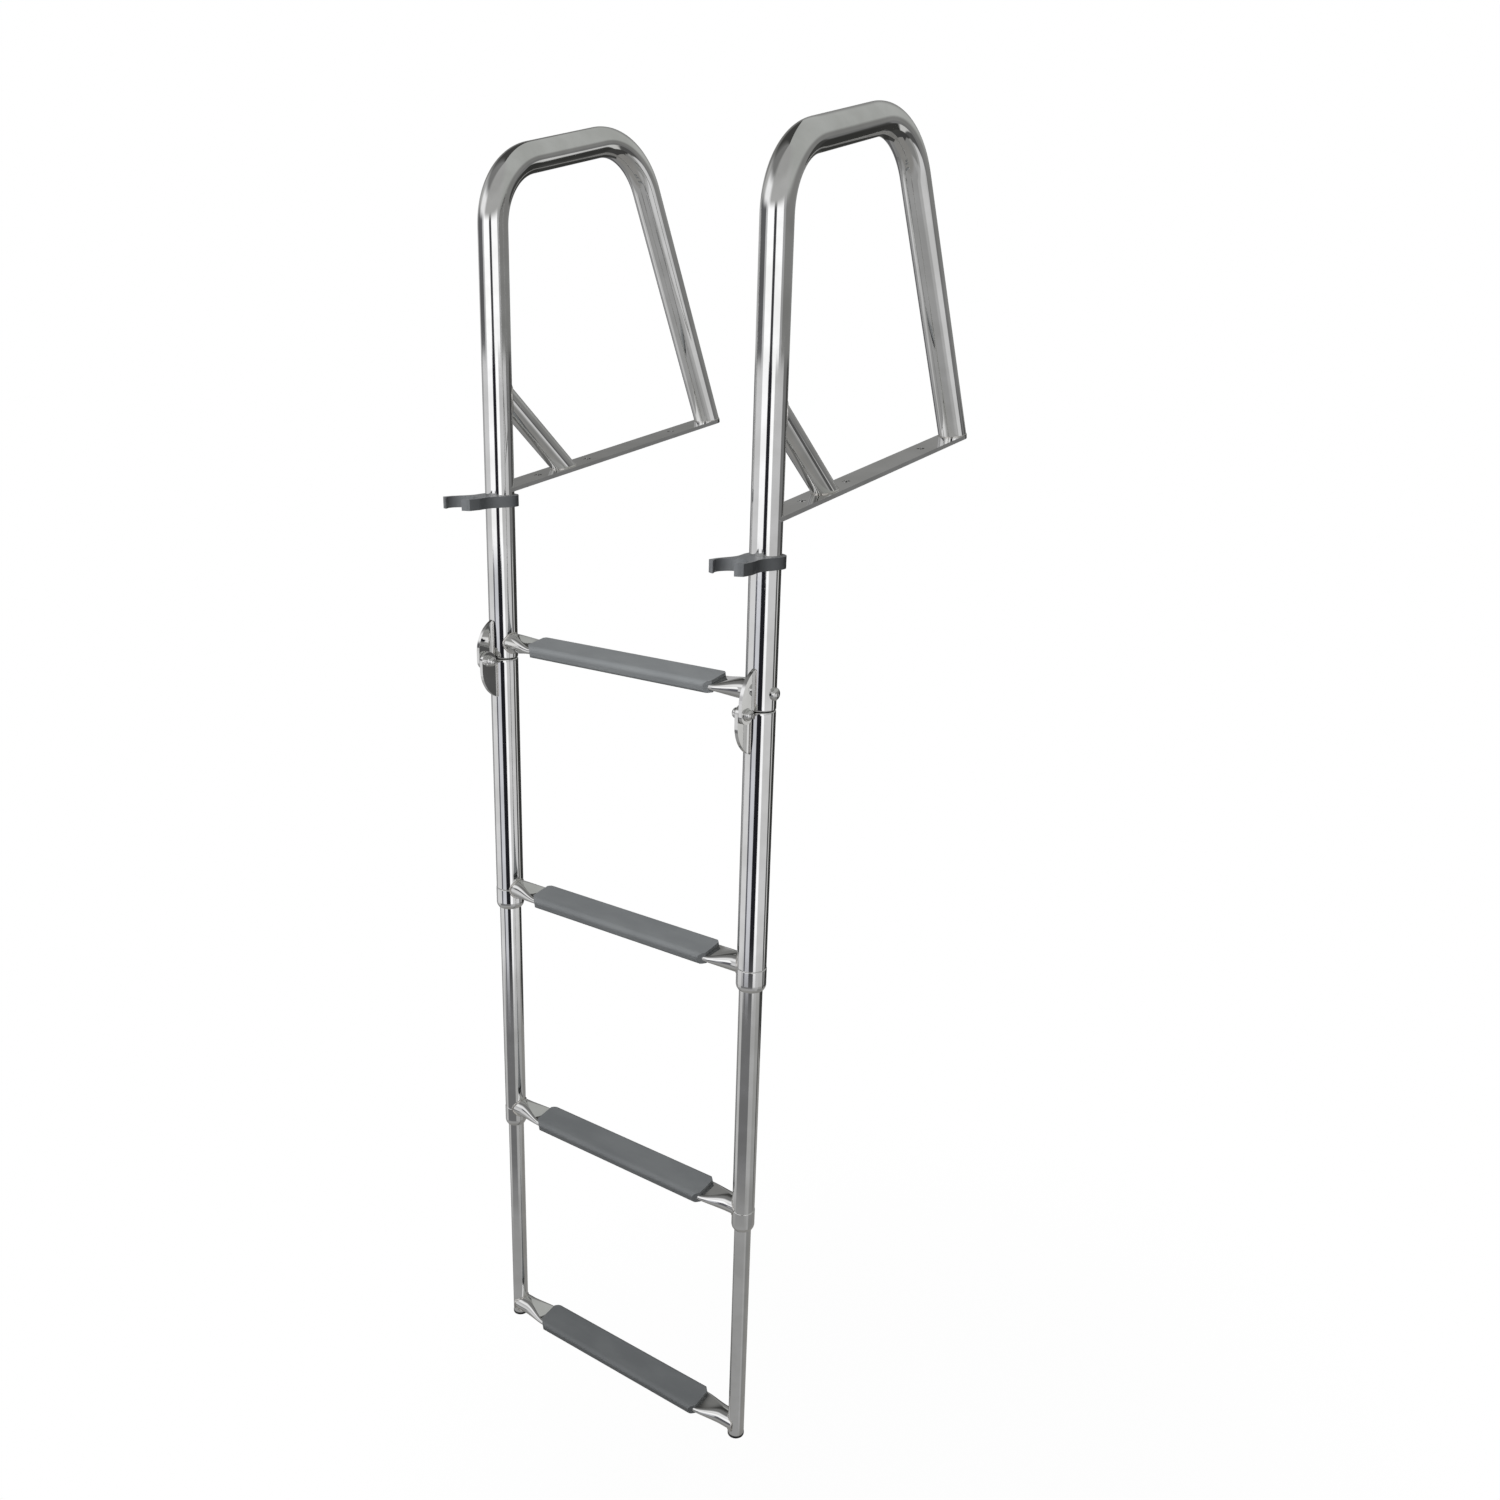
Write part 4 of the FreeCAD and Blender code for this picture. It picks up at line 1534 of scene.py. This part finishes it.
@dataclass
class Welder:
    """Welds the steps, braces and rear legs on, all with one finish."""

    finish: Finish
    brace_radius: float = 0.0127
    brace_foot: float = 0.105
    brace_height: float = 0.092

    def step(self, tube: StepTube, side: Side) -> None:
        """Welds one end of a step to its leg.

        Args:
            tube: The step's tube.
            side: Which end.
        """
        bead = Bead(f"{tube.node}_{side.value}_weld", tube.body)
        centre = leg_point(side.x, TOP_STEP_DROP + tube.number * STEP_PITCH)
        ring = bead.lay(tube.radius + bead.thickness / 3, centre, (0.0, math.pi / 2, 0.0))
        wrap(ring, side, tube.leg_radius, Vector((-side.out, 0.0, 0.0)))
        bead.fill(ring, self.finish)

    def rear_leg(self, side: Side) -> None:
        """Welds a handrail's rear leg on its strip.

        Args:
            side: Which handrail.
        """
        bead = Bead(f"{side.value}_rear_leg_weld", Body.RAILS)
        centre = Vector((side.x, -FRONT_HOLE + STRIP_LENGTH - STRIP_THICKNESS * math.tan(REAR_LEAN), 0.0))
        centre.z = STRIP_THICKNESS + bead.thickness / 3
        ring = bead.lay(RAIL_RADIUS - 2 * bead.thickness / 3, centre, (0.0, 0.0, 0.0))
        self.flatten(ring, centre, 1 / math.cos(REAR_LEAN))
        bead.fill(ring, self.finish)

    def brace(self, side: Side) -> None:
        """Welds the foot of a brace on its strip and its head on the upright.

        Args:
            side: Which brace.
        """
        foot = Vector((side.x, -FRONT_HOLE + self.brace_foot, STRIP_THICKNESS))
        head_y = -FRONT_HOLE + self.brace_height * math.tan(LEAN) + RAIL_RADIUS / math.cos(LEAN)
        slope = Vector((0.0, head_y - foot.y, self.brace_height - foot.z)).normalized()
        bead = Bead(f"{side.value}_brace_foot_weld", Body.RAILS)
        centre = foot + Vector((0.0, 0.0, bead.thickness / 3))
        ring = bead.lay(self.brace_radius, centre, (0.0, 0.0, 0.0))
        self.flatten(ring, centre, 1 / slope.z)
        bead.fill(ring, self.finish)
        bead = Bead(f"{side.value}_brace_head_weld", Body.RAILS)
        # the ring starts inside the upright, square on the brace's axis
        centre = Vector((side.x, head_y, self.brace_height)) + slope * RAIL_RADIUS
        turn = slope.to_track_quat("Z", "Y").to_euler()
        ring = bead.lay(self.brace_radius + bead.thickness / 3, centre, turn)
        wrap(ring, side, RAIL_RADIUS, -slope)
        bead.fill(ring, self.finish)

    def flatten(self, ring: Piece, centre: Vector, stretch: float) -> None:
        """Stretches a ring along Y, as a slanted tube's foot is.

        Args:
            ring: The ring.
            centre: Its centre.
            stretch: Its new length over its width.
        """
        take(ring)
        bpy.ops.object.mode_set(mode="EDIT")
        bpy.ops.mesh.select_all(action="SELECT")
        bpy.ops.transform.resize(value=(1.0, stretch, 1.0), center_override=centre)
        bpy.ops.object.mode_set(mode="OBJECT")


@dataclass
class Ladder:
    """All the new pieces of the ladder, with the finishes by name."""

    finishes: Dict[str, Finish]
    left_clip_drop: float = 0.009
    right_clip_drop: float = 0.038

    def build(self) -> None:
        """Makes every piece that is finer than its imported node."""
        steel = self.finishes[STEEL]
        for side in Side:
            Handrail(side).make(steel)
            SmoothCopy(side.value + "_mounting_strip", Body.RAILS, STEEL).make(steel)
            FoldHinge(side).make(steel, self.finishes["weld"])
            Collar(side, "upper_collar", 1, Body.UPPER, RAIL_RADIUS, MIDDLE_RADIUS).make(steel)
            Collar(side, "middle_collar", 2, Body.MIDDLE, MIDDLE_RADIUS, LOWER_RADIUS).make(steel)
            EndPlug(side).make(self.finishes["plug_rubber"])
        drops = {Side.LEFT: self.left_clip_drop, Side.RIGHT: self.right_clip_drop}
        StorageClip().make(self.finishes["clip_plastic"], drops)
        steps = [
            StepTube("top_step", 0, Body.RAILS, RAIL_RADIUS),
            StepTube("second_step", 1, Body.UPPER, RAIL_RADIUS),
            StepTube("third_step", 2, Body.MIDDLE, MIDDLE_RADIUS),
            StepTube("bottom_step", 3, Body.BOTTOM, LOWER_RADIUS),
        ]
        welder = Welder(self.finishes["weld"])
        for step in steps:
            step.make(steel)
            SmoothCopy(step.node + "_tread", step.body, "tread_plastic").make(self.finishes["tread_plastic"])
            for side in Side:
                welder.step(step, side)
        for side in Side:
            welder.rear_leg(side)
            welder.brace(side)


class Dresser:
    """Holds the finishes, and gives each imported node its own."""

    def __init__(self) -> None:
        """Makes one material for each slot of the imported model, and one for the welds."""
        finishes = (
            PolishedSteel(),
            MouldedPlastic("tread_plastic", (0.222, 0.233, 0.241), (0.252, 0.264, 0.271)),
            MouldedPlastic("clip_plastic", (0.150, 0.158, 0.166), (0.180, 0.188, 0.195), 0.36),
            MouldedPlastic("guide_plastic", (0.70, 0.70, 0.67), (0.78, 0.78, 0.75), 0.5),
            MouldedRubber(),
            PolishedSteel("weld", (0.74, 0.73, 0.71), (0.55, 0.53, 0.50), 0.16, 0.2, wave=0.0004),
        )
        self.finishes = {finish.name: finish.make() for finish in finishes}

    def dress(self, record: dict) -> None:
        """Puts each node's finish on it.

        Args:
            record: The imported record.
        """
        for part in record["subparts"]:
            node = frame["nodes"][part["node"]]
            node.data.materials.clear()
            node.data.materials.append(self.finishes[part["material_slot"]])
            log.info("%s wears %s", part["node"], part["material_slot"])


def main() -> None:
    """Builds the dressed ladder in its studio."""
    logging.basicConfig(level=logging.INFO, format="%(name)s: %(message)s")
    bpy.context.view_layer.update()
    Studio().set_up()
    dresser = Dresser()
    dresser.dress(frame["record"])
    Ladder(dresser.finishes).build()


if __name__ == "__main__":
    main()
